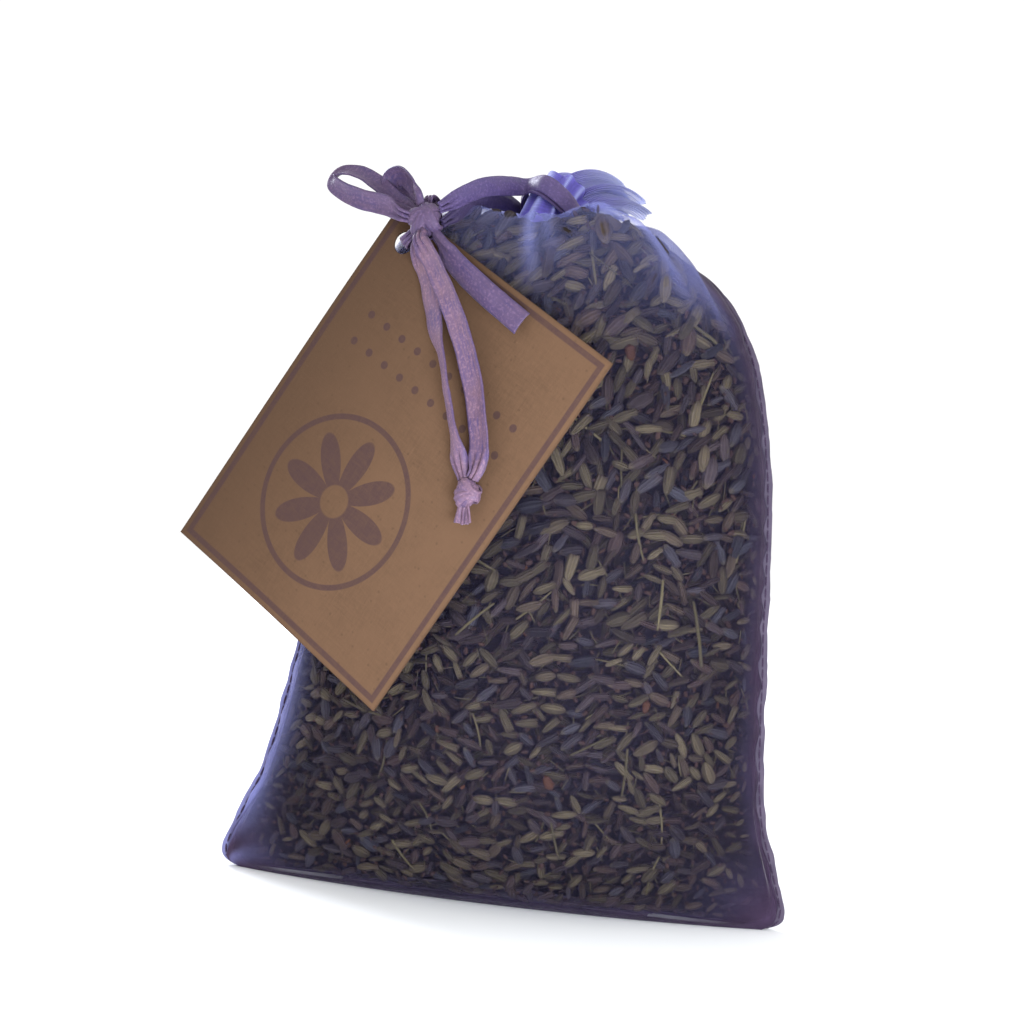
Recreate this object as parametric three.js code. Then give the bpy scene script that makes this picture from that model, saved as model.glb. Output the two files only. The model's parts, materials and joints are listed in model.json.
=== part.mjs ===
// Lavender sachet: a filled organza drawstring bag with a tied ribbon bow and a hanging card tag.
// Millimetres, +Z up, the front faces -Y, and the origin is on the floor under the middle of the bag.
import * as THREE from 'three';

// Cloth and clearances
const CLOTH = 0.4;
const GAP = 0.3;

// Filled bag: widths between the side seams, depths front to back, heights above the floor, and how far
// the crown rises above the shoulder and the gathered rim above the crown
const FOOT_WIDTH = 88;
const FOOT_DEPTH = 12;
const EAR_WIDTH = 93;
const EAR_DEPTH = 18;
const EAR_HEIGHT = 2;
const HAUNCH_WIDTH = 82;
const HAUNCH_DEPTH = 38;
const HAUNCH_HEIGHT = 19.5;
const BELLY_WIDTH = 75;
const BELLY_DEPTH = 42;
const BELLY_HEIGHT = 44.5;
const SHOULDER_WIDTH = 62;
const SHOULDER_DEPTH = 33;
const SHOULDER_HEIGHT = 97.5;
const CROWN_WIDTH = 44;
const CROWN_DEPTH = 23;
const CROWN_RISE = 11;
const RIM_DIAMETER = 12.4;
const RIM_RISE = 4;

// How the soft bag stands: a sideways swell, sides that sharpen towards the floor, two lobes beside
// the front's middle, and a neck that is drawn back and tipped over
const SIDE_SWELL = 4;
const SWELL_BIAS = 1.4;
const SIDE_SHARPNESS = 0.9;
const LOBE_RISE = 1.6;
const NECK_SET_BACK = 3;
const RIM_TILT = THREE.MathUtils.degToRad(22);

// Gathers that run down each panel from its rim
const GATHER_LENGTH = 30;
const PLEATS = 6;
const PLEAT_DEPTH = 0.9;

// Lavender fill: its clearance inside the cloth, and the least thickness of its two edges
const FILL_CLEARANCE = 0.45;
const FILL_EDGE = 1.2;

// Sewn edges
const SEAM_WIDTH = 2.2;
const SEAM_THICKNESS = 1;
const SEAM_TAPER = 0.5;
const BOTTOM_SEAM_WIDTH = 2.4;
const SLOT_SLOPE = 0.4;
const SLOT_LIP = 0.05;

// Gathered neck and the frill above it
const NECK_DIAMETER = 11;
const NECK_WAIST = 9.4;
const NECK_LENGTH = 8;
const NECK_FLUTES = 14;
const NECK_FLUTE_DEPTH = 0.5;
const NECK_CLEARANCE = 0.75;
const NECK_TURN = THREE.MathUtils.degToRad(10);
const NECK_END_TILT = THREE.MathUtils.degToRad(68);
const FRILL_LENGTH = 22;
const FRILL_HALF_WIDTH = 9.5;
const FRILL_END_TILT = THREE.MathUtils.degToRad(102);
const FRILL_CLOTH = 0.8;
const FRILL_LAYER = 1.3;
const FRILL_ARCH = 3.5;
const FRILL_FLUTES = 4;
const FRILL_FLUTE_DEPTH = 2.2;
const FRILL_FLUTE_PHASE = 0.6;
const FRILL_DRIFT = -1;

// Satin ribbon
const RIBBON_WIDTH = 4.8;
const RIBBON_THICKNESS = 0.5;
const RIBBON_PINCH = 1.7;
const RIBBON_PINCH_LENGTH = 5;
const WRAP_WIDTH = 3.2;
const WRAP_PLACE = 0.5;
const WRAP_CLEARANCE = 0.6;
const STRAND_WIDTH = 2.8;
const SMALL_LOOP_WIDTH = 3.4;
const LOOP_CORD_WIDTH = 2.2;
const LOOP_CORD_THICKNESS = 0.8;

// Card tag, hung by a punched corner hole
const TAG_WIDTH = 50;
const TAG_HEIGHT = 67.4;
const TAG_THICKNESS = 0.4;
const HOLE_DIAMETER = 3.8;
const HOLE_INSET = 5;
const HOLE_X = -20.6;
const HOLE_DROP = 3.7;
const TAG_TURN = THREE.MathUtils.degToRad(17.8);
const TAG_LEAN = THREE.MathUtils.degToRad(9.2);
const TAG_SPIN = THREE.MathUtils.degToRad(29.8);

// Knots: half sizes across the tag, up the tag and out from it
const BOW_KNOT = new THREE.Vector3(3.0, 3.3, 2.5);
const BOW_KNOT_AT = new THREE.Vector3(5.4, 2.9, 3.2);
const END_KNOT = new THREE.Vector3(2.3, 3.0, 1.7);
const END_KNOT_AT = new THREE.Vector3(20.5, -40.4, 2.4);
const KNOT_GROOVES = 3;
const KNOT_GROOVE_DEPTH = 0.08;
const KNOT_CLEARANCE = 0.4;
const KNOT_LEAD = 0.9;

// Facet counts
const PANEL_COLUMNS = 34;
const PANEL_ROWS = 16;
const FRILL_COLUMNS = 32;
const FRILL_ROWS = 8;
const RIBBON_STEPS = 26;
const WRAP_STEPS = 40;
const HOLE_SIDES = 28;
const NECK_STEPS = 6;
const FLUTE_POINTS = 4;
const KNOT_SIDES = 20;
const KNOT_LEVELS = 10;

// Steps for measuring slopes on the bag: a share of its height, and an angle kept clear of its edges
const SLOPE_STEP = 0.004;
const EDGE_ANGLE = 0.08;

const { lerp, smoothstep } = THREE.MathUtils;
const UP = new THREE.Vector3(0, 0, 1);

// A closed mesh from points and triangles, turned to face outwards
function closedMesh(points, triangles) {
  let volume = 0;
  for (const [a, b, c] of triangles) {
    volume += points[a].dot(points[b].clone().cross(points[c]));
  }
  const positions = [];
  for (const [a, b, c] of triangles) {
    const order = volume > 0 ? [a, b, c] : [a, c, b];
    for (const index of order) {
      positions.push(points[index].x, points[index].y, points[index].z);
    }
  }
  const geometry = new THREE.BufferGeometry();
  geometry.setAttribute('position', new THREE.Float32BufferAttribute(positions, 3));
  geometry.computeVertexNormals();
  return geometry;
}

// A solid through closed rings of equal length, with a fan over each end or joined end to end
function loft(rings, endless = false) {
  const count = rings[0].length;
  const points = rings.flat();
  const triangles = [];
  const spans = endless ? rings.length : rings.length - 1;
  for (let row = 0; row < spans; row++) {
    const next = (row + 1) % rings.length;
    for (let column = 0; column < count; column++) {
      const beside = (column + 1) % count;
      const a = row * count + column;
      const b = row * count + beside;
      const c = next * count + beside;
      const d = next * count + column;
      triangles.push([a, b, c], [a, c, d]);
    }
  }
  if (!endless) {
    for (const [row, turned] of [[0, true], [rings.length - 1, false]]) {
      const middle = new THREE.Vector3();
      rings[row].forEach((point) => middle.addScaledVector(point, 1 / count));
      const hub = points.push(middle) - 1;
      for (let column = 0; column < count; column++) {
        const a = row * count + column;
        const b = row * count + ((column + 1) % count);
        triangles.push(turned ? [hub, b, a] : [hub, a, b]);
      }
    }
  }
  return closedMesh(points, triangles);
}

// A solid between two grids of points, closed along their four borders
function sheet(outer, inner) {
  const rows = outer.length;
  const columns = outer[0].length;
  const points = [...outer.flat(), ...inner.flat()];
  const layer = rows * columns;
  const at = (row, column) => row * columns + column;
  const triangles = [];
  for (let row = 0; row < rows - 1; row++) {
    for (let column = 0; column < columns - 1; column++) {
      const quad = [at(row, column), at(row, column + 1), at(row + 1, column + 1), at(row + 1, column)];
      const [a, b, c, d] = quad;
      triangles.push([a, b, c], [a, c, d]);
      const [e, f, g, h] = quad.map((index) => index + layer);
      triangles.push([e, g, f], [e, h, g]);
    }
  }
  const border = [];
  for (let column = 0; column < columns - 1; column++) border.push(at(0, column));
  for (let row = 0; row < rows - 1; row++) border.push(at(row, columns - 1));
  for (let column = columns - 1; column > 0; column--) border.push(at(rows - 1, column));
  for (let row = rows - 1; row > 0; row--) border.push(at(row, 0));
  border.forEach((a, index) => {
    const b = border[(index + 1) % border.length];
    triangles.push([a, a + layer, b + layer], [a, b + layer, b]);
  });
  return closedMesh(points, triangles);
}

// The bag's outline: half width, half depth and height from the floor to the gathered rim
const crownHeight = SHOULDER_HEIGHT + CROWN_RISE;
const rimHeight = crownHeight + RIM_RISE;
const gatherStart = rimHeight - GATHER_LENGTH;
const bagProfile = new THREE.CatmullRomCurve3([
  new THREE.Vector3(FOOT_WIDTH / 2, FOOT_DEPTH / 2, 0),
  new THREE.Vector3(EAR_WIDTH / 2, EAR_DEPTH / 2, EAR_HEIGHT),
  new THREE.Vector3(HAUNCH_WIDTH / 2, HAUNCH_DEPTH / 2, HAUNCH_HEIGHT),
  new THREE.Vector3(BELLY_WIDTH / 2, BELLY_DEPTH / 2, BELLY_HEIGHT),
  new THREE.Vector3(SHOULDER_WIDTH / 2, SHOULDER_DEPTH / 2, SHOULDER_HEIGHT),
  new THREE.Vector3(CROWN_WIDTH / 2, CROWN_DEPTH / 2, crownHeight),
  new THREE.Vector3(RIM_DIAMETER / 2, RIM_DIAMETER / 2, rimHeight),
]);

// Half the space that the two panels leave between them beside their seams
const SEWN_OFFSET = SEAM_THICKNESS / 2 + GAP;

// Rows are close together at the ears and at the crown, where the outline turns
function rowShare(row) {
  const even = row / PANEL_ROWS;
  return even < 0.25 ? even * even * 2 + even * 0.5 : even;
}

// How deep the gathers are at a height
const pleatDepth = (height) => PLEAT_DEPTH * smoothstep(height, gatherStart, rimHeight);

// A point of the bag: along its height, from the left edge to the right, on one side (front is -1)
function bagPoint(share, angle, side, pleated = true) {
  const { x: halfWidth, y: halfDepth, z: height } = bagProfile.getPoint(share);
  const raised = THREE.MathUtils.clamp(height / rimHeight, 0, 1);
  const sharpness = 1 + SIDE_SHARPNESS * (1 - raised) ** 2;
  const swell = SIDE_SWELL * Math.sin(Math.PI * raised ** SWELL_BIAS);
  const drawn = smoothstep(height, gatherStart, rimHeight);
  const fullness = Math.max(Math.sin(angle), 0) ** sharpness;
  const depth = SEWN_OFFSET + (halfDepth - SEWN_OFFSET) * fullness;
  const fold = pleated ? pleatDepth(height) * (0.5 - 0.5 * Math.cos(2 * PLEATS * angle)) : 0;
  const x = -(halfWidth - fold * Math.abs(Math.cos(angle))) * Math.cos(angle);
  const y = side * Math.max(depth - fold * Math.sin(angle), SEWN_OFFSET);
  const risen = smoothstep(height, SHOULDER_HEIGHT, crownHeight);
  const crest = risen * (1 - smoothstep(height, crownHeight, rimHeight));
  const lobe = side < 0 ? LOBE_RISE * crest * Math.sin(2 * angle) ** 2 : 0;
  const tipped = -y * Math.tan(RIM_TILT) * drawn;
  return new THREE.Vector3(x + swell, y + NECK_SET_BACK * drawn, height + tipped + lobe);
}

// The outward direction of the unpleated bag, so that an inset keeps its folds
function bagNormal(share, angle, side) {
  const inside = THREE.MathUtils.clamp(angle, EDGE_ANGLE, Math.PI - EDGE_ANGLE);
  const low = bagPoint(Math.max(share - SLOPE_STEP, 0), inside, side, false);
  const high = bagPoint(Math.min(share + SLOPE_STEP, 1), inside, side, false);
  const left = bagPoint(share, inside - SLOPE_STEP, side, false);
  const right = bagPoint(share, inside + SLOPE_STEP, side, false);
  return high.sub(low).cross(right.sub(left)).normalize().multiplyScalar(side);
}

const panelAngle = (column) => (Math.PI * column) / PANEL_COLUMNS;

// Half the width of the slot that the bottom seam lies in, closing towards the ears
function slotHalf(depth) {
  const open = GAP / 2 + SLOT_SLOPE * (depth - SEWN_OFFSET);
  return Math.min(BOTTOM_SEAM_WIDTH / 2 + GAP, open);
}

// One cloth panel: half of the flat base, then the wall up to the gathered rim
function panelGeometry(side) {
  const outer = [[], []];
  const inner = [[], []];
  for (let column = 0; column <= PANEL_COLUMNS; column++) {
    const angle = panelAngle(column);
    const foot = bagPoint(0, angle, side);
    const slot = slotHalf(Math.abs(foot.y));
    const insideFoot = Math.max(Math.abs(foot.y) - CLOTH, slot + SLOT_LIP);
    outer[0].push(new THREE.Vector3(foot.x, side * slot, 0));
    inner[0].push(new THREE.Vector3(foot.x, side * slot, CLOTH));
    outer[1].push(new THREE.Vector3(foot.x, foot.y, 0));
    inner[1].push(new THREE.Vector3(foot.x, side * insideFoot, CLOTH));
  }
  for (let row = 1; row <= PANEL_ROWS; row++) {
    const share = rowShare(row);
    const outerRow = [];
    const innerRow = [];
    for (let column = 0; column <= PANEL_COLUMNS; column++) {
      const angle = panelAngle(column);
      const point = bagPoint(share, angle, side);
      outerRow.push(point);
      innerRow.push(point.clone().addScaledVector(bagNormal(share, angle, side), -CLOTH));
    }
    outer.push(outerRow);
    inner.push(innerRow);
  }
  return sheet(outer, inner);
}

// The lavender buds, as one solid that fills the bag up to its crown
const fillInset = CLOTH + FILL_CLEARANCE;
const fillTopRow = PANEL_ROWS - 2;

function fillRing(share, resting) {
  const inset = (angle, side) => {
    const point = bagPoint(share, angle, side, false);
    const depth = fillInset + pleatDepth(point.z);
    if (resting) return new THREE.Vector3(point.x, point.y - side * (fillInset + CLOTH), fillInset);
    return point.addScaledVector(bagNormal(share, angle, side), -depth);
  };
  let edge = EDGE_ANGLE / 4;
  while (inset(edge, 1).y - inset(edge, -1).y < FILL_EDGE && edge < 1) edge += EDGE_ANGLE / 8;
  const ring = [];
  for (const side of [-1, 1]) {
    for (let column = 0; column <= PANEL_COLUMNS; column++) {
      const along = side < 0 ? column : PANEL_COLUMNS - column;
      ring.push(inset(lerp(edge, Math.PI - edge, along / PANEL_COLUMNS), side));
    }
  }
  return ring;
}

function fillGeometry() {
  const rings = [fillRing(0, true)];
  for (let row = 2; row <= fillTopRow; row++) rings.push(fillRing(rowShare(row), false));
  return loft(rings);
}

// A side seam: a flat strip just outside the panels' edges, from the ear up to the shoulder
function sideSeamGeometry(hand) {
  const edgeAngle = hand < 0 ? 0 : Math.PI;
  const rings = [];
  const lastRow = PANEL_ROWS - 1;
  for (let row = 0; row <= lastRow; row++) {
    const share = rowShare(row);
    const tip = bagPoint(share, edgeAngle, -1);
    const before = bagPoint(Math.max(share - SLOPE_STEP, 0), edgeAngle, -1);
    const after = bagPoint(Math.min(share + SLOPE_STEP, 1), edgeAngle, -1);
    const middle = tip.y + SEWN_OFFSET;
    const along = after.sub(before).setY(0).normalize();
    const out = new THREE.Vector3(along.z, 0, -along.x);
    if (out.x * hand < 0) out.negate();
    if (out.z < 0) out.set(hand, 0, 0);
    const width = SEAM_WIDTH * (1 - SEAM_TAPER * smoothstep(tip.z, SHOULDER_HEIGHT, rimHeight));
    const corner = (reach, half) => {
      const point = tip.clone().addScaledVector(out, reach);
      return point.setY(middle + half);
    };
    const half = SEAM_THICKNESS / 2;
    const [near, far] = [GAP, GAP + width];
    rings.push([corner(near, -half), corner(far, -half), corner(far, half), corner(near, half)]);
  }
  return loft(rings);
}

// The bottom seam: a strip in the slot between the panels, as long as the slot is at its full width
function bottomSeamGeometry() {
  let left = 0;
  let right = 0;
  for (let column = 0; column <= PANEL_COLUMNS; column++) {
    const foot = bagPoint(0, panelAngle(column), -1);
    if (slotHalf(Math.abs(foot.y)) < BOTTOM_SEAM_WIDTH / 2 + GAP) continue;
    left = Math.min(left, foot.x);
    right = Math.max(right, foot.x);
  }
  const geometry = new THREE.BoxGeometry(right - left, BOTTOM_SEAM_WIDTH, CLOTH);
  return geometry.translate((left + right) / 2, 0, CLOTH / 2);
}

// The neck's middle line, which starts square to the rim and tips over towards the back
const flop = new THREE.Vector3(Math.sin(NECK_TURN), Math.cos(NECK_TURN), 0);
const rimMiddle = new THREE.Vector3(0, NECK_SET_BACK, rimHeight);

function tippedLine(start, length, fromTilt, toTilt, steps) {
  const frames = [];
  const point = start.clone();
  for (let step = 0; step <= steps; step++) {
    const share = step / steps;
    const tilt = lerp(fromTilt, toTilt, share);
    const along = UP.clone().multiplyScalar(Math.cos(tilt)).addScaledVector(flop, Math.sin(tilt));
    if (step > 0) point.addScaledVector(along, length / steps);
    const over = UP.clone().multiplyScalar(Math.sin(tilt)).addScaledVector(flop, -Math.cos(tilt));
    frames.push({ share, at: point.clone(), along, over });
  }
  return frames;
}

const flopSide = new THREE.Vector3().crossVectors(flop, UP);
const neckStart = rimMiddle.clone().addScaledVector(UP, NECK_CLEARANCE);
const neckFrames = tippedLine(neckStart, NECK_LENGTH, RIM_TILT, NECK_END_TILT, NECK_STEPS);

function ringAround(frame, radiusAt, count) {
  const ring = [];
  for (let index = 0; index < count; index++) {
    const angle = (2 * Math.PI * index) / count;
    const radius = radiusAt(angle);
    const point = frame.at.clone().addScaledVector(flopSide, radius * Math.cos(angle));
    ring.push(point.addScaledVector(frame.over, radius * Math.sin(angle)));
  }
  return ring;
}

// The gathered neck: the cloth of both panels bunched into flutes where the drawstring pulls it in
function neckGeometry() {
  const rings = neckFrames.map((frame) => {
    const size = lerp(NECK_DIAMETER, NECK_WAIST, Math.sqrt(Math.sin(Math.PI * frame.share))) / 2;
    const radius = (angle) => size - NECK_FLUTE_DEPTH * (0.5 - 0.5 * Math.cos(NECK_FLUTES * angle));
    return ringAround(frame, radius, NECK_FLUTES * FLUTE_POINTS);
  });
  return loft(rings);
}

// One layer of the frill, which leaves half of the neck's end and spreads into flutes
const neckEnd = neckFrames[NECK_STEPS];

function frillGeometry(layer) {
  const start = neckEnd.at.clone().addScaledVector(neckEnd.along, GAP);
  const frames = tippedLine(start, FRILL_LENGTH, NECK_END_TILT, FRILL_END_TILT, FRILL_ROWS);
  const outer = [];
  const inner = [];
  const neckRadius = NECK_DIAMETER / 2 - NECK_FLUTE_DEPTH;
  for (const { share, at, over } of frames) {
    const spread = Math.sin((Math.PI * share) / 2);
    const halfWidth = lerp(neckRadius, FRILL_HALF_WIDTH, spread);
    const outerRow = [];
    const innerRow = [];
    for (let column = 0; column <= FRILL_COLUMNS; column++) {
      const across = (2 * column) / FRILL_COLUMNS - 1;
      const arch = FRILL_ARCH * Math.sqrt(1 - across * across) * (1 - share) ** 2;
      const wave = Math.sin(FRILL_FLUTES * Math.PI * across + FRILL_FLUTE_PHASE);
      const apart = lerp(FRILL_LAYER / 2, FRILL_LAYER, share) + arch;
      const lift = layer * apart + FRILL_FLUTE_DEPTH * spread * wave;
      const sideways = halfWidth * across + FRILL_DRIFT * share * share;
      const point = at.clone().addScaledVector(flopSide, sideways);
      outerRow.push(point.clone().addScaledVector(over, lift + FRILL_CLOTH / 2));
      innerRow.push(point.clone().addScaledVector(over, lift - FRILL_CLOTH / 2));
    }
    outer.push(outerRow);
    inner.push(innerRow);
  }
  return sheet(outer, inner);
}

// The wrap: ribbon drawn tight round the neck
const wrapInside = NECK_WAIST / 2 + WRAP_CLEARANCE;

function neckFrameAt(share) {
  const place = share * NECK_STEPS;
  const low = neckFrames[Math.floor(place)];
  const high = neckFrames[Math.ceil(place)];
  const mix = place - Math.floor(place);
  const over = low.over.clone().lerp(high.over, mix).normalize();
  return { at: low.at.clone().lerp(high.at, mix), over };
}

function wrapGeometry() {
  const outside = wrapInside + RIBBON_THICKNESS;
  const halfShare = WRAP_WIDTH / NECK_LENGTH / 2;
  const low = neckFrameAt(WRAP_PLACE - halfShare);
  const high = neckFrameAt(WRAP_PLACE + halfShare);
  const rings = [];
  for (let index = 0; index < WRAP_STEPS; index++) {
    const angle = (2 * Math.PI * index) / WRAP_STEPS;
    const corner = (edge, reach) => (
      edge.at.clone()
        .addScaledVector(flopSide, reach * Math.cos(angle))
        .addScaledVector(edge.over, reach * Math.sin(angle))
    );
    rings.push([
      corner(low, wrapInside),
      corner(low, outside),
      corner(high, outside),
      corner(high, wrapInside),
    ]);
  }
  return loft(rings, true);
}

// The tag's plane: square to its normal, and just clear of the fullest point of the bag's front
const tagOut = new THREE.Vector3(
  -Math.sin(TAG_TURN) * Math.cos(TAG_LEAN),
  -Math.cos(TAG_TURN) * Math.cos(TAG_LEAN),
  Math.sin(TAG_LEAN),
);
const tagAcross = new THREE.Vector3(Math.cos(TAG_TURN), -Math.sin(TAG_TURN), 0);
const tagUp = new THREE.Vector3().crossVectors(tagOut, tagAcross);

function bagReach(direction) {
  let reach = -Infinity;
  for (let row = 0; row <= PANEL_ROWS; row++) {
    for (let column = 0; column <= PANEL_COLUMNS; column++) {
      reach = Math.max(reach, bagPoint(rowShare(row), panelAngle(column), -1).dot(direction));
    }
  }
  return reach;
}

const tagReach = bagReach(tagOut) + GAP + TAG_THICKNESS / 2;
const holeZ = rimHeight - HOLE_DROP;
const holeY = (tagReach - HOLE_X * tagOut.x - holeZ * tagOut.z) / tagOut.y;
const hole = new THREE.Vector3(HOLE_X, holeY, holeZ);

// A point from the hole: across the tag's plane, up it and out from it
function fromHole(across, up, out) {
  const point = hole.clone().addScaledVector(tagAcross, across);
  return point.addScaledVector(tagUp, up).addScaledVector(tagOut, out);
}

function alongTag(across, up, out) {
  return fromHole(across, up, out).sub(hole);
}

function tagGeometry() {
  const card = new THREE.Shape();
  const left = -HOLE_INSET;
  const top = HOLE_INSET;
  card.moveTo(left, top - TAG_HEIGHT);
  card.lineTo(left + TAG_WIDTH, top - TAG_HEIGHT);
  card.lineTo(left + TAG_WIDTH, top);
  card.lineTo(left, top);
  const punched = [];
  for (let index = 0; index < HOLE_SIDES; index++) {
    const angle = (-2 * Math.PI * index) / HOLE_SIDES;
    punched.push(new THREE.Vector2(Math.cos(angle), Math.sin(angle)).multiplyScalar(HOLE_DIAMETER / 2));
  }
  card.holes.push(new THREE.Path(punched));
  const options = { depth: TAG_THICKNESS, bevelEnabled: false };
  return new THREE.ExtrudeGeometry(card, options).translate(0, 0, -TAG_THICKNESS / 2);
}

// A knot: a rounded lump with the grooves of its turns
function knotGeometry(halfSize, middle) {
  const rings = [];
  for (let level = 1; level < KNOT_LEVELS; level++) {
    const rise = (Math.PI * level) / KNOT_LEVELS;
    const ring = [];
    for (let index = 0; index < KNOT_SIDES; index++) {
      const angle = (2 * Math.PI * index) / KNOT_SIDES;
      const groove = Math.abs(Math.cos(KNOT_GROOVES * rise + angle));
      const size = 1 - KNOT_GROOVE_DEPTH * (1 - groove) * Math.sin(rise);
      ring.push(fromHole(
        middle.x + size * halfSize.x * Math.sin(rise) * Math.cos(angle),
        middle.y + halfSize.y * Math.cos(rise),
        middle.z + size * halfSize.z * Math.sin(rise) * Math.sin(angle),
      ));
    }
    rings.push(ring);
  }
  return loft(rings);
}

// A ribbon along a route of points, with the direction of its width at each
const START_PINCHED = [true, false];
const BOTH_PINCHED = [true, true];

function ribbonGeometry(route, pinched, width = RIBBON_WIDTH, thickness = RIBBON_THICKNESS) {
  const line = new THREE.CatmullRomCurve3(route.map((stop) => stop.at));
  const widths = new THREE.CatmullRomCurve3(route.map((stop) => stop.across.clone().normalize()));
  const length = line.getLength();
  const rings = [];
  for (let step = 0; step <= RIBBON_STEPS; step++) {
    const share = step / RIBBON_STEPS;
    const parameter = line.getUtoTmapping(share);
    const at = line.getPoint(parameter);
    const along = line.getTangent(parameter);
    const across = widths.getPoint(parameter);
    across.addScaledVector(along, -across.dot(along)).normalize();
    const out = new THREE.Vector3().crossVectors(along, across);
    const fromStart = pinched[0] ? smoothstep(share * length, 0, RIBBON_PINCH_LENGTH) : 1;
    const fromEnd = pinched[1] ? smoothstep((1 - share) * length, 0, RIBBON_PINCH_LENGTH) : 1;
    const half = lerp(Math.min(RIBBON_PINCH, width), width, fromStart * fromEnd) / 2;
    const corner = (sideways, outwards) => (
      at.clone().addScaledVector(across, sideways * half).addScaledVector(out, outwards * thickness / 2)
    );
    rings.push([corner(-1, -1), corner(1, -1), corner(1, 1), corner(-1, 1)]);
  }
  return loft(rings);
}

// Stops of a ribbon's route, measured from the hole, with the direction of the ribbon's width
const stop = (at, across) => ({ at: fromHole(...at), across: alongTag(...across) });

// Two stops that lead straight out of a knot, in a direction from its middle
function knotStops(halfSize, middle, direction, across) {
  const way = new THREE.Vector3(...direction).normalize();
  const surface = 1 / way.clone().divide(halfSize).length();
  const reaches = [surface + KNOT_CLEARANCE, surface + KNOT_CLEARANCE + KNOT_LEAD];
  return reaches.map((reach) => stop(middle.clone().addScaledVector(way, reach).toArray(), across));
}

const outOfBow = (direction, across) => knotStops(BOW_KNOT, BOW_KNOT_AT, direction, across);
const intoBow = (direction, across) => outOfBow(direction, across).reverse();
const intoEnd = (direction, across) => knotStops(END_KNOT, END_KNOT_AT, direction, across).reverse();

const bowLoopRoute = [
  ...outOfBow([-0.85, 0.05, 0.45], [0, 0.8, 0.5]),
  stop([-4.2, 4.4, 4.6], [0.1, 0.7, 0.7]),
  stop([-11, 6.0, 4.0], [0.1, 0.6, 0.8]),
  stop([-15.8, 8.2, 3.4], [0.3, 0.1, 0.95]),
  stop([-16.2, 10.6, 2.8], [0.1, -0.1, 1]),
  stop([-13.2, 12.2, 2.4], [0, -0.3, 0.95]),
  stop([-7, 10.6, 2.4], [0.1, -0.5, 0.85]),
  stop([-2, 7.6, 2.4], [0.3, -0.4, 0.85]),
  ...intoBow([-0.8, 0.6, -0.05], [0.5, 0.4, 0.8]),
];

const smallLoopRoute = [
  ...outOfBow([-0.35, 0.85, 0.45], [0.8, 0.1, 0.6]),
  stop([1.4, 8.6, 5.2], [0.7, 0.3, 0.7]),
  stop([-0.8, 11.6, 3.8], [0.5, 0.5, 0.7]),
  stop([-2.0, 12.2, 1.4], [0.5, 0.5, 0.7]),
  stop([-1.0, 11.2, 0], [0.8, 0.4, 0.2]),
  stop([1.8, 8.6, 0.2], [0.9, 0.2, 0.2]),
  ...intoBow([-0.2, 0.9, -0.35], [0.9, 0, 0.3]),
];

const tagLoopRoute = [
  ...outOfBow([-0.75, -0.65, -0.1], [0.7, -0.7, 0]),
  stop([0, 0, 0], [0.7, -0.7, 0]),
  stop([0.4, 1.2, -1.3], [0.8, -0.5, 0]),
  stop([2.2, 5.0, -1.6], [0.9, -0.4, 0]),
  stop([4.6, 7.6, -1.4], [0.9, -0.3, 0]),
  stop([6.4, 8.4, 0.4], [0.95, -0.1, 0.1]),
  ...intoBow([0.45, 0.85, -0.25], [0.95, 0, 0.2]),
];

const cutTailRoute = [
  ...outOfBow([0.7, -0.65, -0.1], [0.4, 0.5, 0.75]),
  stop([10.5, -2.4, 2.4], [0.5, 0.75, 0.35]),
  stop([17, -7.4, 1.9], [0.55, 0.83, 0.1]),
  stop([25.4, -12.8, 1.6], [0.55, 0.83, 0]),
];

const knottedTailLeftRoute = [
  ...outOfBow([-0.2, -0.95, -0.1], [0.95, 0, 0.2]),
  stop([7.0, -6, 2.0], [0.95, 0.1, 0.2]),
  stop([9.6, -13, 2.4], [0.85, 0.15, 0.4]),
  stop([13.2, -20.5, 3.3], [0.55, 0.15, 0.8]),
  stop([16.6, -30.4, 3.0], [0.6, 0.2, 0.75]),
  ...intoEnd([-0.4, 0.9, 0], [0.9, 0.2, 0.3]),
];

const knottedTailRightRoute = [
  ...outOfBow([0.25, -0.8, 0.55], [0.9, 0, 0.35]),
  stop([10.4, -6, 5.2], [0.9, 0.2, 0.3]),
  stop([15.4, -14, 4.8], [0.95, 0.2, 0.2]),
  stop([18.6, -22, 3.4], [0.95, 0.2, 0.2]),
  stop([21.2, -31.5, 2.6], [0.95, 0, 0.25]),
  ...intoEnd([0.35, 0.9, 0.1], [0.95, -0.1, 0.2]),
];

// The two strands from the neck's wrap to the bow: where each leaves the wrap, where it ends beside the
// knot (up and out from the knot's middle) and how far it bows upwards
const UPPER_STRAND = { wrapAngle: 0.74 * Math.PI, up: 2.3, out: 0.4, bowed: 2.4 };
const LOWER_STRAND = { wrapAngle: 0.97 * Math.PI, up: -0.8, out: -0.4, bowed: 2.2 };
const WRAP_TURNS = 2;
const wrapFrame = neckFrameAt(WRAP_PLACE);
const wrapReach = wrapInside + WRAP_TURNS * (RIBBON_THICKNESS + GAP);
const wrapPoint = (angle) => (
  wrapFrame.at.clone()
    .addScaledVector(flopSide, wrapReach * Math.cos(angle))
    .addScaledVector(wrapFrame.over, wrapReach * Math.sin(angle))
);
const knotSide = BOW_KNOT_AT.x + BOW_KNOT.x + GAP;

function strandRoute({ wrapAngle, up, out, bowed }) {
  const start = fromHole(knotSide, BOW_KNOT_AT.y + up, BOW_KNOT_AT.z + out);
  const end = wrapPoint(wrapAngle);
  const middle = start.clone().lerp(end, 0.5).addScaledVector(UP, bowed);
  const across = new THREE.Vector3().crossVectors(wrapFrame.over, flopSide);
  return [
    { at: start, across: alongTag(0, 0.9, 0.3) },
    { at: middle, across: UP },
    { at: end, across },
  ];
}

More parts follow.
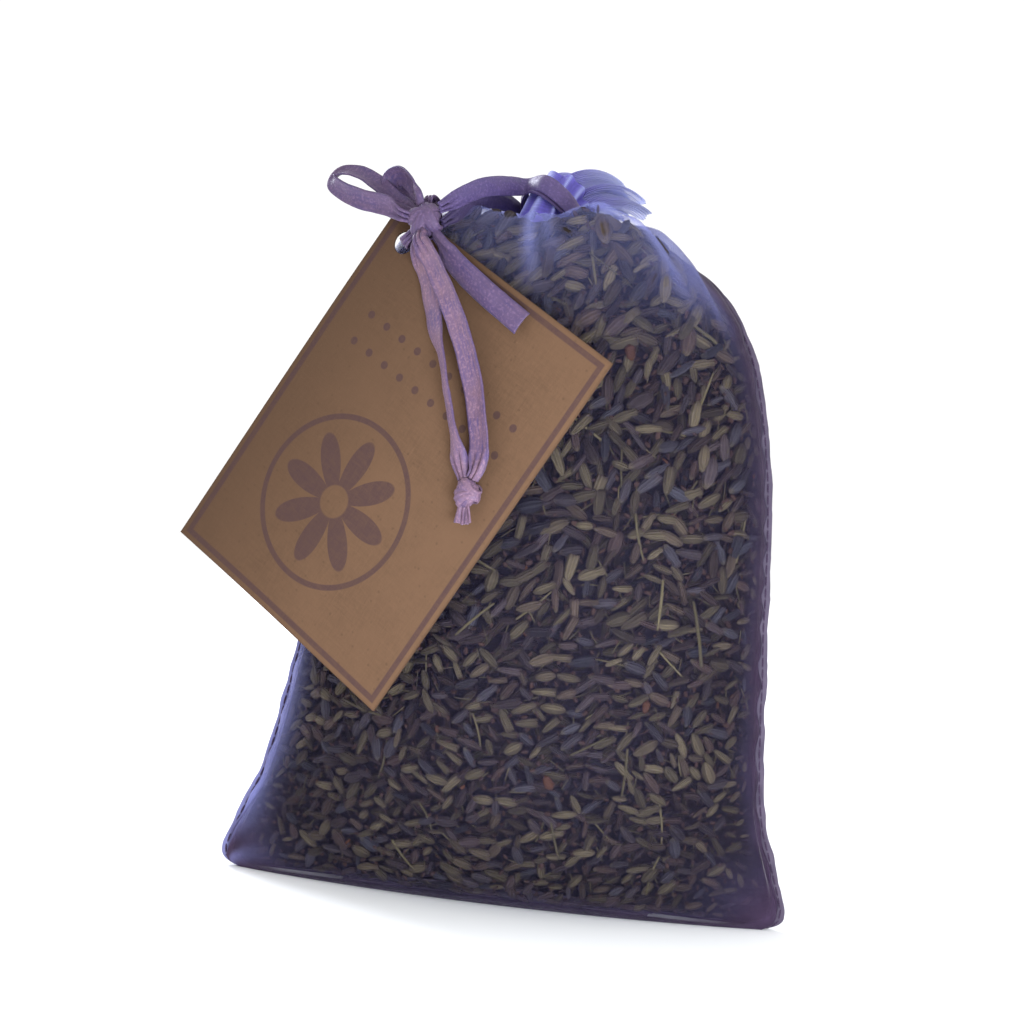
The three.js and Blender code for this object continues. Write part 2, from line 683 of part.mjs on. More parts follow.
// Colours as photographed, with the sheen of each material
const ORGANZA = { color: 0x7a6cb8, roughness: 0.55, metalness: 0, transparent: true, opacity: 0.45 };
const FRILL = { color: 0x8f8be0, roughness: 0.5, metalness: 0, transparent: true, opacity: 0.6 };
const SEAM = { color: 0x5a4878, roughness: 0.6, metalness: 0 };
const BUDS = { color: 0x4b4350, roughness: 0.95, metalness: 0 };
const SATIN = { color: 0x9a7890, roughness: 0.38, metalness: 0 };
const CARD = { color: 0x8a6d58, roughness: 0.9, metalness: 0 };

const sachet = new THREE.Group();
sachet.name = 'lavender_sachet';

function add(name, geometry, finish) {
  const mesh = new THREE.Mesh(geometry, new THREE.MeshStandardMaterial(finish));
  mesh.name = name;
  sachet.add(mesh);
  return mesh;
}

add('front_panel', panelGeometry(-1), ORGANZA);
add('back_panel', panelGeometry(1), ORGANZA);
add('left_side_seam', sideSeamGeometry(-1), SEAM);
add('right_side_seam', sideSeamGeometry(1), SEAM);
add('bottom_seam', bottomSeamGeometry(), SEAM);
add('lavender_fill', fillGeometry(), BUDS);
add('gathered_neck', neckGeometry(), FRILL);
add('front_frill', frillGeometry(1), FRILL);
add('back_frill', frillGeometry(-1), FRILL);
add('neck_wrap', wrapGeometry(), SATIN);
add('upper_strand', ribbonGeometry(strandRoute(UPPER_STRAND), START_PINCHED, STRAND_WIDTH), SATIN);
add('lower_strand', ribbonGeometry(strandRoute(LOWER_STRAND), START_PINCHED, STRAND_WIDTH), SATIN);
add('bow_knot', knotGeometry(BOW_KNOT, BOW_KNOT_AT), SATIN);
add('bow_loop', ribbonGeometry(bowLoopRoute, BOTH_PINCHED), SATIN);
add('small_loop', ribbonGeometry(smallLoopRoute, BOTH_PINCHED, SMALL_LOOP_WIDTH), SATIN);
add('tag_loop', ribbonGeometry(tagLoopRoute, BOTH_PINCHED, LOOP_CORD_WIDTH, LOOP_CORD_THICKNESS), SATIN);
add('cut_tail', ribbonGeometry(cutTailRoute, START_PINCHED), SATIN);
add('knotted_tail_left', ribbonGeometry(knottedTailLeftRoute, BOTH_PINCHED), SATIN);
add('knotted_tail_right', ribbonGeometry(knottedTailRightRoute, BOTH_PINCHED), SATIN);
add('tail_end_knot', knotGeometry(END_KNOT, END_KNOT_AT), SATIN);

const tag = add('paper_tag', tagGeometry(), CARD);
const tagFacing = new THREE.Matrix4().makeBasis(tagAcross, tagUp, tagOut);
tag.quaternion.setFromRotationMatrix(tagFacing);
tag.rotateZ(-TAG_SPIN);
tag.position.copy(hole);

export default sachet;
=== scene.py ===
import json
import math

import bpy
import numpy as np
from bpy.props import FloatProperty, FloatVectorProperty, IntProperty, PointerProperty
from mathutils import Matrix, Vector, noise
from mathutils.geometry import delaunay_2d_cdt

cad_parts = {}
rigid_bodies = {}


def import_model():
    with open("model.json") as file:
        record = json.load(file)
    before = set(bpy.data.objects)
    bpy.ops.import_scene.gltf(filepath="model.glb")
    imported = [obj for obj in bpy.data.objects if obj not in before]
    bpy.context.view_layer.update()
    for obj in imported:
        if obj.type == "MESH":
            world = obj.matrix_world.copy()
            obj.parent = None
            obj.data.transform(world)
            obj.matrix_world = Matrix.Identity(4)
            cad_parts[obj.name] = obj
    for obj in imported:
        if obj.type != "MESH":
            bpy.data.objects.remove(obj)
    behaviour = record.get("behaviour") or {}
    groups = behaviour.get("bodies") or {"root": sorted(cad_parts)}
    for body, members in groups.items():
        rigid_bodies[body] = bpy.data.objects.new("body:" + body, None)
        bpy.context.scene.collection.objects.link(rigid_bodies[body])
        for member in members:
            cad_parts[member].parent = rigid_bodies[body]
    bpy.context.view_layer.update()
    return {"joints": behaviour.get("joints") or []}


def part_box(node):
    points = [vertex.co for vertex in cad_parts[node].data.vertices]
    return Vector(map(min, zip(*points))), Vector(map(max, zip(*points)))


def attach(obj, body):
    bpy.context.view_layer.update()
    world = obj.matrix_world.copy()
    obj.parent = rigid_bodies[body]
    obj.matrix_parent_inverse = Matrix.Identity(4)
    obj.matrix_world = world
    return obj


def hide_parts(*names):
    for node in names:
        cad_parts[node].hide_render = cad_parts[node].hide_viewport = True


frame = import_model()

bl_info = {
    "name": "Lavender Sachet",
    "version": (1, 0, 0),
    "blender": (4, 5, 0),
    "location": "View3D > Sidebar > Sachet",
    "description": "Dresses a filled organza sachet with its cloth, buds, ribbon bow and card tag",
    "category": "Object",
}

MM = 0.001
JOINTS = {joint["name"]: joint for joint in frame["joints"]}

# The tag's own directions, from the joint that swings it and the one that lifts the bow
HOLE = np.array(JOINTS["tag_swing"]["pos_m"])
TAG_OUT = np.array(JOINTS["tag_swing"]["axis"])
TAG_ACROSS = -np.array(JOINTS["bow_lift"]["axis"])
TAG_UP = np.cross(TAG_OUT, TAG_ACROSS)

# Heights of the filled bag in millimetres
GATHER_START = 82.5
SHOULDER_HEIGHT = 97.5
CROWN_HEIGHT = 108.5
RIM_HEIGHT = 112.5

# Half width, half depth and height of the filled bag in millimetres, from the foot to the gathered rim
BAG_OUTLINE = np.array([
    (45.3, 6, 0),
    (47.8, 9, 2),
    (42.4, 19, 19.5),
    (38.9, 21, 44.5),
    (32.4, 16.5, SHOULDER_HEIGHT),
    (22.8, 11.5, CROWN_HEIGHT),
    (6.2, 6.2, RIM_HEIGHT),
])

# How the filled bag stands: its swell to the right, its sides that sharpen towards the floor, the lobes of
# the front's crest, two of them with an angle round from the left edge and a rise of their own, and the
# number of pleats on each panel
SIDE_SWELL = 4
SWELL_BIAS = 1.4
SIDE_SHARPNESS = 0.9
LOBE_RISE = 2.8
FRONT_LOBES = ((1.22, 1.2), (1.95, 3.0))
FRONT_LOBE_WIDTH = 0.28
PLEATS = 6

# Sewn edges in millimetres: how far the panels stand off the middle plane and are tucked in beside the seam,
# the doubled strip outside them, with the share of its width that it loses towards the rim, and the slot in
# the base for the bottom seam
SEWN_OFFSET = 0.8
EDGE_TUCK = 0.42
EDGE_TUCK_WIDTH = 0.9
SEAM_WIDTH = 0.9
SEAM_GAP = 0.2
SEAM_TAPER = 0.5
SEAM_CLOTH = 0.3
SLOT_HALF = 1.5

# Neck and frill: lengths in millimetres, and tilts from upright
NECK_SET_BACK = 3
RIM_TILT = math.radians(22)
NECK_TURN = math.radians(10)
NECK_END_TILT = math.radians(68)
NECK_CLEARANCE = 0.75
NECK_LENGTH = 8
NECK_DIAMETER = 11
NECK_WAIST = 9.4
WRAP_CLEARANCE = 0.6
FRILL_LENGTH = 22
FRILL_END_TILT = math.radians(102)

# Knots in millimetres: half sizes and middles, across the tag, up it and out from it, and how far a ribbon
# starts inside a knot and leads straight out of it
BOW_KNOT = np.array((3.0, 3.3, 2.5))
BOW_KNOT_AT = np.array((5.4, 2.9, 3.2))
END_KNOT = np.array((2.3, 3.0, 1.7))
END_KNOT_AT = np.array((20.5, -40.4, 2.4))
KNOT_OVERLAP = 0.5
KNOT_LEAD = 1.3

# A ribbon's gathers beside a knot: how long they are, how many folds they have and how deep the folds are
PINCH_LENGTH = 5 * MM
PINCH_FOLDS = 2.5
PINCH_DEPTH = 0.16

# A ribbon's creases in millimetres: height, closeness along it and across it, and a step of the pattern
CREASES = ((0.22, 0.32, 2, 7.3), (0.06, 0.9, 5, 3.1))

# A turn of ribbon round a knot, in millimetres: its creases, its rolled edges, and how much it narrows
TURN_CREASE = 0.10
TURN_ROLL = 0.45
TURN_NARROWING = 0.18

UP = np.array((0.0, 0.0, 1.0))


# Settings that a user would change, and what those for lengths, angles and colours have in common

LENGTH = {"subtype": 'DISTANCE', "unit": 'LENGTH', "precision": 5}
ANGLE = {"subtype": 'ANGLE', "unit": 'ROTATION'}
COLOUR = {"subtype": 'COLOR', "size": 3}


class StageSettings(bpy.types.PropertyGroup):
    """Camera and light"""
    focal_length: FloatProperty(
        name="Focal length", description="Camera focal length in millimetres on a 36 mm sensor",
        default=73.83, min=10)
    distance: FloatProperty(
        name="Distance", description="From the camera to the point it looks at", default=0.3543, **LENGTH)
    azimuth: FloatProperty(
        name="Azimuth", description="How far the camera stands round to the right of the front",
        default=math.radians(12), **ANGLE)
    elevation: FloatProperty(
        name="Elevation", description="How far the camera looks down", default=math.radians(3), **ANGLE)
    roll: FloatProperty(
        name="Roll", description="How far the camera is turned about its line of sight",
        default=math.radians(4.06), **ANGLE)
    target: FloatVectorProperty(
        name="Target", description="The point the camera looks at",
        default=(-0.00159, 0, 0.06554), subtype='XYZ', unit='LENGTH')
    sky: FloatProperty(
        name="Sky strength", description="Brightness of the even white surroundings", default=1.08, min=0)
    key_power: FloatProperty(
        name="Key power", description="Power of the small light close by in front, low down",
        default=0.26, unit='POWER')
    back_power: FloatProperty(
        name="Back power",
        description="Power of the cool light behind at the left, which shines through the cloth",
        default=3.0, unit='POWER')


class ClothSettings(bpy.types.PropertyGroup):
    """Organza of the bag"""
    colour: FloatVectorProperty(
        name="Colour", description="Organza colour", default=(0.046, 0.028, 0.058), **COLOUR)
    deep: FloatVectorProperty(
        name="Deep colour", description="Organza where light comes through its folds",
        default=(0.12, 0.088, 0.48), **COLOUR)
    # Painted light in part: the organza's colour where light shines off and through it, laid on as pale
    # haze, sheen, glints and glow
    pale: FloatVectorProperty(
        name="Pale colour", description="Organza where many layers lie together",
        default=(0.34, 0.37, 0.80), **COLOUR)
    cover: FloatProperty(
        name="Cover", description="How much of the view one flat layer hides", default=0.04, min=0, max=1)
    thread_pitch: FloatProperty(
        name="Thread pitch", description="Distance between neighbouring threads",
        default=0.34 * MM, **LENGTH)
    thickness: FloatProperty(
        name="Thickness", description="Thickness of the cloth", default=0.12 * MM, **LENGTH)
    pucker: FloatProperty(
        name="Pucker", description="Height of the small wrinkles beside the seams",
        default=0.35 * MM, **LENGTH)
    frill_folds: IntProperty(
        name="Frill folds", description="Wide folds across each layer of the frill", default=3, min=1)
    stitch_length: FloatProperty(
        name="Stitch length", description="Length of one stitch of the seams", default=1.9 * MM, **LENGTH)


class LavenderSettings(bpy.types.PropertyGroup):
    """Dried buds in the bag"""
    bud_length: FloatProperty(
        name="Bud length", description="Length of a middling bud", default=5.1 * MM, **LENGTH)
    outer_spacing: FloatProperty(
        name="Outer spacing", description="Least distance between buds against the cloth",
        default=2.2 * MM, **LENGTH)
    inner_spacing: FloatProperty(
        name="Inner spacing", description="Least distance between the buds behind those",
        default=2.2 * MM, **LENGTH)
    olive: FloatVectorProperty(
        name="Olive", description="Colour of the greyest green buds",
        default=(0.068, 0.054, 0.033), **COLOUR)
    plum: FloatVectorProperty(
        name="Plum", description="Colour of the purple-brown buds",
        default=(0.043, 0.027, 0.024), **COLOUR)
    slate: FloatVectorProperty(
        name="Slate", description="Colour of the blue-grey buds", default=(0.035, 0.034, 0.045), **COLOUR)
    seed: IntProperty(name="Seed", description="Changes how the buds lie", default=7)


class RibbonSettings(bpy.types.PropertyGroup):
    """Satin ribbon"""
    colour: FloatVectorProperty(
        name="Colour", description="Colour of the satin", default=(0.190, 0.110, 0.152), **COLOUR)
    # Painted shade and the satin's own darker tone: blended in where copies of the satin are shaded, in its
    # drift and at its edges
    shade: FloatVectorProperty(
        name="Shade colour", description="Colour of the satin's cooler folds",
        default=(0.086, 0.066, 0.205), **COLOUR)
    width: FloatProperty(
        name="Width", description="Width of the ribbon", default=4.0 * MM, **LENGTH)
    pinch: FloatProperty(
        name="Pinch", description="Width of the ribbon where a knot gathers it",
        default=1.7 * MM, **LENGTH)
    thickness: FloatProperty(
        name="Thickness", description="Thickness of the ribbon", default=0.28 * MM, **LENGTH)


class TagSettings(bpy.types.PropertyGroup):
    """Card tag"""
    width: FloatProperty(
        name="Width", description="Width of the card", default=50 * MM, **LENGTH)
    height: FloatProperty(
        name="Height", description="Height of the card", default=67.4 * MM, **LENGTH)
    thickness: FloatProperty(
        name="Thickness", description="Thickness of the card", default=0.4 * MM, **LENGTH)
    spin: FloatProperty(
        name="Spin", description="How far the card is turned clockwise in its own plane",
        default=math.radians(29.8), **ANGLE)
    curl: FloatProperty(
        name="Curl", description="How far the lower left corner lifts", default=1.1 * MM, **LENGTH)
    card: FloatVectorProperty(
        name="Card colour", description="Colour of the kraft card",
        default=(0.126, 0.069, 0.039), **COLOUR)
    ink: FloatVectorProperty(
        name="Ink colour", description="Colour of the printed border and pattern",
        default=(0.056, 0.030, 0.034), **COLOUR)


SETTINGS = (
    ("sachet_stage", StageSettings),
    ("sachet_cloth", ClothSettings),
    ("sachet_lavender", LavenderSettings),
    ("sachet_ribbon", RibbonSettings),
    ("sachet_tag", TagSettings),
)


# Curves and surfaces

def lerp(a, b, share):
    return a + (b - a) * share


def smoothstep(value, low, high):
    share = np.clip((value - low) / (high - low), 0, 1)
    return share * share * (3 - 2 * share)


def unit(vectors):
    return vectors / np.maximum(np.linalg.norm(vectors, axis=-1, keepdims=True), 1e-12)


def smooth_curve(points, shares):
    """Points on a centripetal Catmull-Rom curve, at shares from 0 to 1."""
    points = np.asarray(points, float)
    last = len(points) - 1
    padded = np.vstack([2 * points[0] - points[1], points, 2 * points[-1] - points[-2]])
    place = np.clip(np.asarray(shares, float), 0, 1) * last
    span = np.minimum(place.astype(int), last - 1)
    t = (place - span)[..., None]
    before, start, end, after = (padded[span + step] for step in range(4))

    def knot(a, b):
        return np.sqrt(np.maximum(np.linalg.norm(b - a, axis=-1, keepdims=True), 1e-9))

    first, middle, final = knot(before, start), knot(start, end), knot(end, after)
    leaving = (start - before) / first - (end - before) / (first + middle) + (end - start) / middle
    arriving = (end - start) / middle - (after - start) / (middle + final) + (after - end) / final
    leaving, arriving = leaving * middle, arriving * middle
    square = -3 * start + 3 * end - 2 * leaving - arriving
    cube = 2 * start - 2 * end + leaving + arriving
    return start + t * (leaving + t * (square + t * cube))


def running_length(points):
    """The length along a line of points, from its start to each of them."""
    steps = np.linalg.norm(np.diff(points, axis=0), axis=1)
    return np.concatenate([[0], np.cumsum(steps)])


def gathered(height):
    """How far the cloth is drawn together at a height in millimetres: 0 below the gathers, 1 at the rim."""
    return smoothstep(height, GATHER_START, RIM_HEIGHT)


def side_swell(height):
    """How far the filled bag leans to the right at a height in millimetres."""
    raised = np.clip(height / RIM_HEIGHT, 0, 1)
    return SIDE_SWELL * np.sin(np.pi * raised ** SWELL_BIAS)


def front_crest(height, angle):
    """How far the lobes between the shoulder and the rim raise the front."""
    lobe = LOBE_RISE * np.sin(2 * angle) ** 2
    for place, rise in FRONT_LOBES:
        lobe = lobe + rise * np.exp(-((angle - place) / FRONT_LOBE_WIDTH) ** 2)
    rising = smoothstep(height, SHOULDER_HEIGHT, CROWN_HEIGHT)
    falling = smoothstep(height, CROWN_HEIGHT, RIM_HEIGHT)
    return lobe * (rising * (1 - falling))


def bag_surface(share, angle, side):
    """The smooth filled bag in millimetres; angle runs from the left edge to the right, front is side -1."""
    share, angle = np.broadcast_arrays(share, angle)
    half_width, half_depth, height = np.moveaxis(smooth_curve(BAG_OUTLINE, share), -1, 0)
    lowered = 1 - np.clip(height / RIM_HEIGHT, 0, 1)
    fullness = np.maximum(np.sin(angle), 0) ** (1 + SIDE_SHARPNESS * lowered ** 2)
    drawn = gathered(height)
    x = side_swell(height) - half_width * np.cos(angle)
    y = side * (SEWN_OFFSET + (half_depth - SEWN_OFFSET) * fullness)
    z = height - y * math.tan(RIM_TILT) * drawn
    if side < 0:
        z = z + front_crest(height, angle)
    return np.stack([x, y + NECK_SET_BACK * drawn, z], axis=-1)


def bag_outward(share, angle, side, step=0.004, edge=0.08):
    """The bag's outward direction, from points a small step away."""
    inside = np.clip(angle, edge, np.pi - edge)
    above = bag_surface(np.minimum(share + step, 1), inside, side)
    below = bag_surface(np.maximum(share - step, 0), inside, side)
    across = bag_surface(share, inside + step, side) - bag_surface(share, inside - step, side)
    return unit(np.cross(above - below, across)) * side


def bag_place(x, height):
    """The share and angle of the bag's surface at x and a height in millimetres."""
    shares = np.linspace(0, 1, 400)
    share = float(np.interp(height, smooth_curve(BAG_OUTLINE, shares)[:, 2], shares))
    half_width = smooth_curve(BAG_OUTLINE, share)[0]
    return share, math.acos(np.clip((side_swell(height) - x) / half_width, -1, 1))


def tipped_line(start, length, from_tilt, to_tilt, steps):
    """The neck's middle line, tipping over backwards: points, directions along it and over it."""
    flop = np.array((math.sin(NECK_TURN), math.cos(NECK_TURN), 0))
    tilt = np.linspace(from_tilt, to_tilt, steps + 1)[:, None]
    along = UP * np.cos(tilt) + flop * np.sin(tilt)
    over = UP * np.sin(tilt) - flop * np.cos(tilt)
    points = start + np.vstack([np.zeros(3), np.cumsum(along[1:] * length / steps, axis=0)])
    return points, along, over


FLOP_SIDE = np.array((math.cos(NECK_TURN), -math.sin(NECK_TURN), 0))
NECK_START = np.array((0, NECK_SET_BACK, RIM_HEIGHT + NECK_CLEARANCE))


def neck_line(steps):
    return tipped_line(NECK_START, NECK_LENGTH, RIM_TILT, NECK_END_TILT, steps)


def wobble(x, y, z, scale):
    """Smooth noise from -1 to 1 at a place in millimetres."""
    return noise.noise(Vector((x, y, z)) * scale)


# Meshes

def new_piece(name, vertices, faces, uv=None, values=None):
    """A smooth mesh object at the origin, with a UV and named values for each vertex."""
    mesh = bpy.data.meshes.new(name)
    mesh.from_pydata([tuple(v) for v in vertices], [], [tuple(f) for f in faces])
    if uv is not None:
        corner = np.zeros(len(mesh.loops), dtype=np.int32)
        mesh.loops.foreach_get("vertex_index", corner)
        layer = mesh.uv_layers.new(name="UVMap")
        layer.data.foreach_set("uv", np.asarray(uv, float)[corner].ravel())
    for label, column in (values or {}).items():
        attribute = mesh.attributes.new(label, 'FLOAT', 'POINT')
        attribute.data.foreach_set("value", np.asarray(column, float))
    mesh.polygons.foreach_set("use_smooth", [True] * len(mesh.polygons))
    mesh.validate()
    piece = bpy.data.objects.new(name, mesh)
    bpy.context.scene.collection.objects.link(piece)
    return piece


def shell_parts(grid, uv, thickness, endless=False):
    """Vertices, faces and UVs of a closed thin cloth on a grid of points, in metres."""
    rows, columns = grid.shape[:2]
    down = np.roll(grid, -1, 0) - np.roll(grid, 1, 0) if endless else np.gradient(grid, axis=0)
    outward = unit(np.cross(np.gradient(grid, axis=1), down))
    vertices = np.concatenate([
        (grid + outward * thickness / 2).reshape(-1, 3),
        (grid - outward * thickness / 2).reshape(-1, 3),
    ])
    layer = rows * columns
    faces = []

    def at(row, column):
        return (row % rows) * columns + column

    def wall(a, b, turned):
        edge = [a, b, b + layer, a + layer]
        faces.append(edge[::-1] if turned else edge)

    for row in range(rows if endless else rows - 1):
        for column in range(columns - 1):
            quad = [at(row, column), at(row, column + 1), at(row + 1, column + 1), at(row + 1, column)]
            faces.append(quad)
            faces.append([index + layer for index in reversed(quad)])
        for column, turned in ((0, False), (columns - 1, True)):
            wall(at(row, column), at(row + 1, column), turned)
    if not endless:
        for row, turned in ((0, True), (rows - 1, False)):
            for column in range(columns - 1):
                wall(at(row, column), at(row, column + 1), turned)
    return vertices, faces, np.concatenate([uv.reshape(-1, 2)] * 2)


def shell(name, grid, uv, thickness, values=None):
    """A closed thin cloth on a grid of points, in metres."""
    vertices, faces, corners = shell_parts(grid, uv, thickness)
    doubled = {label: np.tile(np.ravel(column), 2) for label, column in (values or {}).items()}
    return new_piece(name, vertices, faces, corners, doubled)


def joined(name, parts):
    """One mesh object from several lists of vertices, faces and UVs."""
    vertices, faces, uv = [], [], []
    for part_vertices, part_faces, part_uv in parts:
        base = len(vertices)
        vertices.extend(part_vertices)
        faces.extend([[index + base for index in face] for face in part_faces])
        uv.extend(part_uv)
    return new_piece(name, vertices, faces, uv)


def finish_piece(piece, body, slot, material, *nodes):
    """Gives a piece its finish and its place on a body of the part."""
    piece.data.materials.clear()
    piece.data.materials.append(material)
    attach(piece, body)
    if nodes:
        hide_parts(*nodes)


def ring_faces(rings, sides):
    """Faces of a closed shape: a tip, rings of vertices, and another tip."""
    last = 1 + (rings - 1) * sides
    faces = []
    for index in range(sides):
        beside = (index + 1) % sides
        faces.append((0, 1 + beside, 1 + index))
        faces.append((last + sides, last + index, last + beside))
        for ring in range(rings - 1):
            low, high = 1 + ring * sides, 1 + (ring + 1) * sides
            faces.append((low + index, low + beside, high + beside, high + index))
    return faces


# Ribbon

def from_hole(place):
    """A point in metres from millimetres across the tag, up it and out from it."""
    across, up, out = place
    return HOLE + MM * (across * TAG_ACROSS + up * TAG_UP + out * TAG_OUT)


def stop(place, width):
    """A stop of a ribbon's route, and the direction of the ribbon's width there."""
    return from_hole(place), from_hole(width) - HOLE


def knot_stops(half_size, middle, direction, width):
    """Two stops that lead straight out of a knot, from a little inside it."""
    way = np.array(direction) / np.linalg.norm(direction)
    surface = 1 / np.linalg.norm(way / half_size)
    return [stop(middle + way * (surface + reach), width) for reach in (-KNOT_OVERLAP, KNOT_LEAD)]


def out_of_bow(direction, width):
    return knot_stops(BOW_KNOT, BOW_KNOT_AT, direction, width)


def into_bow(direction, width):
    return out_of_bow(direction, width)[::-1]


def into_end(direction, width):
    return knot_stops(END_KNOT, END_KNOT_AT, direction, width)[::-1]


BOW_LOOP = [
    *out_of_bow((-0.85, 0.15, 0.45), (0, 0.8, 0.5)),
    stop((-1.2, 4.9, 5.0), (0.1, 0.9, 0.4)),
    stop((-6.6, 6.0, 4.6), (0.1, 0.9, 0.4)),
    stop((-11.4, 7.6, 4.2), (0.35, 0.8, 0.5)),
    stop((-14.2, 9.5, 3.6), (0.8, 0, 0.6)),
    stop((-13.7, 11.2, 3.0), (0.5, -0.6, 0.7)),
    stop((-11.0, 11.7, 2.6), (0.1, -0.7, 0.75)),
    stop((-6.8, 10.3, 2.6), (-0.2, -0.65, 0.75)),
    stop((-2.1, 7.4, 2.8), (-0.2, -0.6, 0.75)),
    *into_bow((-0.8, 0.5, -0.05), (-0.2, -0.6, 0.75)),
]
SMALL_LOOP = [
    *out_of_bow((-0.35, 0.85, 0.15), (0.6, 0.4, 0.7)),
    stop((2.2, 8.0, 3.4), (0.6, 0.4, 0.7)),
    stop((0.3, 9.8, 2.8), (0.5, 0.6, 0.7)),
    stop((-1.8, 10.7, 2.0), (0, 0.8, 0.6)),
    stop((-3.5, 10.2, 1.4), (-0.5, 0.65, 0.6)),
    stop((-3.5, 9.0, 0.8), (-0.8, -0.1, 0.6)),
    stop((-1.4, 7.8, 0.6), (-0.4, -0.7, 0.6)),
    *into_bow((-0.7, 0.7, -0.35), (-0.3, -0.6, 0.7)),
]
TAG_LOOP = [
    *out_of_bow((-0.75, -0.65, -0.1), (0.7, -0.7, 0)),
    stop((0, 0, 0), (0.7, -0.7, 0)),
    stop((0.4, 1.2, -1.3), (0.8, -0.5, 0)),
    stop((1.8, 4.2, -1.1), (0.9, -0.4, 0)),
    stop((3.6, 6.2, -0.7), (0.9, -0.3, 0)),
    stop((5.2, 7.0, 0.9), (0.95, -0.1, 0.1)),
    *into_bow((-0.1, 0.9, -0.2), (0.95, 0, 0.2)),
]
CUT_TAIL = [
    *out_of_bow((0.7, -0.65, -0.1), (0.4, 0.5, 0.75)),
    stop((10.5, -2.4, 2.4), (0.5, 0.75, 0.35)),
    stop((17, -7.4, 1.9), (0.55, 0.83, 0.1)),
    stop((25.4, -12.8, 1.6), (0.55, 0.83, 0)),
]
KNOTTED_TAIL_LEFT = [
    *out_of_bow((-0.2, -0.95, -0.1), (0.95, 0, 0.2)),
    stop((7.0, -6, 2.0), (0.95, 0.1, 0.2)),
    stop((9.6, -13, 2.4), (0.85, 0.15, 0.4)),
    stop((13.2, -20.5, 3.3), (0.55, 0.15, 0.8)),
    stop((16.6, -30.4, 3.0), (0.6, 0.2, 0.75)),
    *into_end((-0.4, 0.9, 0), (0.9, 0.2, 0.3)),
]
KNOTTED_TAIL_RIGHT = [
    *out_of_bow((0.25, -0.8, 0.55), (0.9, 0, 0.35)),
    stop((10.4, -6, 5.2), (0.9, 0.2, 0.3)),
    stop((15.4, -14, 4.8), (0.95, 0.2, 0.2)),
    stop((18.6, -22, 3.4), (0.95, 0.2, 0.2)),
    stop((21.2, -31.5, 2.6), (0.95, 0, 0.25)),
    *into_end((0.35, 0.9, 0.1), (0.95, -0.1, 0.2)),
]


def walk(stops, count):
    """Evenly spaced middles, directions along and across, and running length of a route."""
    places = [place for place, width in stops]
    widths = [width / np.linalg.norm(width) for place, width in stops]
    fine = np.linspace(0, 1, 800)
    run = running_length(smooth_curve(places, fine))
    even = np.linspace(0, run[-1], count)
    shares = np.interp(even, run, fine)
    middles = smooth_curve(places, shares)
    along = unit(np.gradient(middles, axis=0))
    across = smooth_curve(widths, shares)
    across = unit(across - along * np.sum(across * along, axis=1, keepdims=True))
    return middles, along, across, even


def creases(run, share, seed):
    """How far a ribbon's creases lift it, at a share of its half width."""
    return np.array([
        sum(wobble(distance / MM, share * across, seed * step, along) * height * MM
            for height, along, across, step in CREASES)
        for distance in run
    ])


def ribbon_parts(stops, ribbon, width, pinched, cup, seed, count=120, columns=14):
    """Vertices, faces and UVs of a ribbon that folds up where a knot pinches it."""
    middles, along, across, run = walk(stops, count)
    out = np.cross(along, across)
    from_start = smoothstep(run, 0, PINCH_LENGTH) if pinched[0] else np.ones(count)
    from_end = smoothstep(run[-1] - run, 0, PINCH_LENGTH) if pinched[1] else np.ones(count)
    spread = lerp(min(ribbon.pinch, width), width, from_start * from_end)
    slack = np.sqrt(np.maximum(width ** 2 - spread ** 2, 0))
    grid = np.zeros((count, columns + 1, 3))
    uv = np.zeros((count, columns + 1, 2))
    for column in range(columns + 1):
        share = 2 * column / columns - 1
        fold = PINCH_DEPTH * slack * math.cos(math.pi * PINCH_FOLDS * share + seed)
        lift = cup * (1 - share ** 2) * from_start * from_end + fold + creases(run, share, seed)
        grid[:, column] = middles + across * (share * spread / 2)[:, None] + out * lift[:, None]
        uv[:, column, 0] = share * width / 2
        uv[:, column, 1] = run
    return shell_parts(grid, uv, ribbon.thickness)


def turn_parts(middle, half_size, plane, shift, ribbon, width, seed, count=64, columns=10):
    """Vertices, faces and UVs of one turn of ribbon drawn tight round a knot."""
    first, second = (np.array(direction) / np.linalg.norm(direction) for direction in plane)
    axis = np.cross(first, second)
    grid = np.zeros((count, columns + 1, 3))
    uv = np.zeros((count, columns + 1, 2))
    for row in range(count):
        angle = 2 * math.pi * row / count
        way = first * math.cos(angle) + second * math.sin(angle)
        reach = 1 / np.linalg.norm(way / half_size)
        half_width = width / 2 * (1 - TURN_NARROWING + TURN_NARROWING * math.cos(angle * 2 + seed))
        for column in range(columns + 1):
            share = 2 * column / columns - 1
            crease = TURN_CREASE * math.cos(3 * math.pi * share + 2 * math.sin(angle + seed))
            lifted = reach + crease - TURN_ROLL * share ** 2
            grid[row, column] = from_hole(middle + way * lifted + axis * (shift + share * half_width))
            uv[row, column] = (share * width / 2 * MM, angle * reach * MM)
    return shell_parts(grid, uv, ribbon.thickness, endless=True)


def core_parts(middle, half_size, sides=24, levels=14):
    """Vertices, faces and UVs of the rounded lump inside a knot."""
    tip = half_size * np.array((0, 1, 0))
    vertices = [from_hole(middle + tip)]
    uv = [(0, 0)]
    for level in range(1, levels):
        rise = math.pi * level / levels
        radius = math.sin(rise)
        for index in range(sides):
            angle = 2 * math.pi * index / sides
            way = np.array((radius * math.cos(angle), math.cos(rise), radius * math.sin(angle)))
            vertices.append(from_hole(middle + half_size * way))
            uv.append((angle * half_size[0] * MM, rise * half_size[1] * MM))
    vertices.append(from_hole(middle - tip))
    uv.append((0, 0))
    return vertices, ring_faces(levels - 1, sides), uv


def knot_parts(middle, half_size, core_share, turns, ribbon):
    """A knot's lump and the turns of ribbon round it, each with a size, plane, shift, width and seed."""
    parts = [core_parts(middle, half_size * core_share)]
    for size, plane, shift, width, seed in turns:
        parts.append(turn_parts(middle, half_size * size, plane, shift, ribbon, width, seed))
    return parts


# Node trees

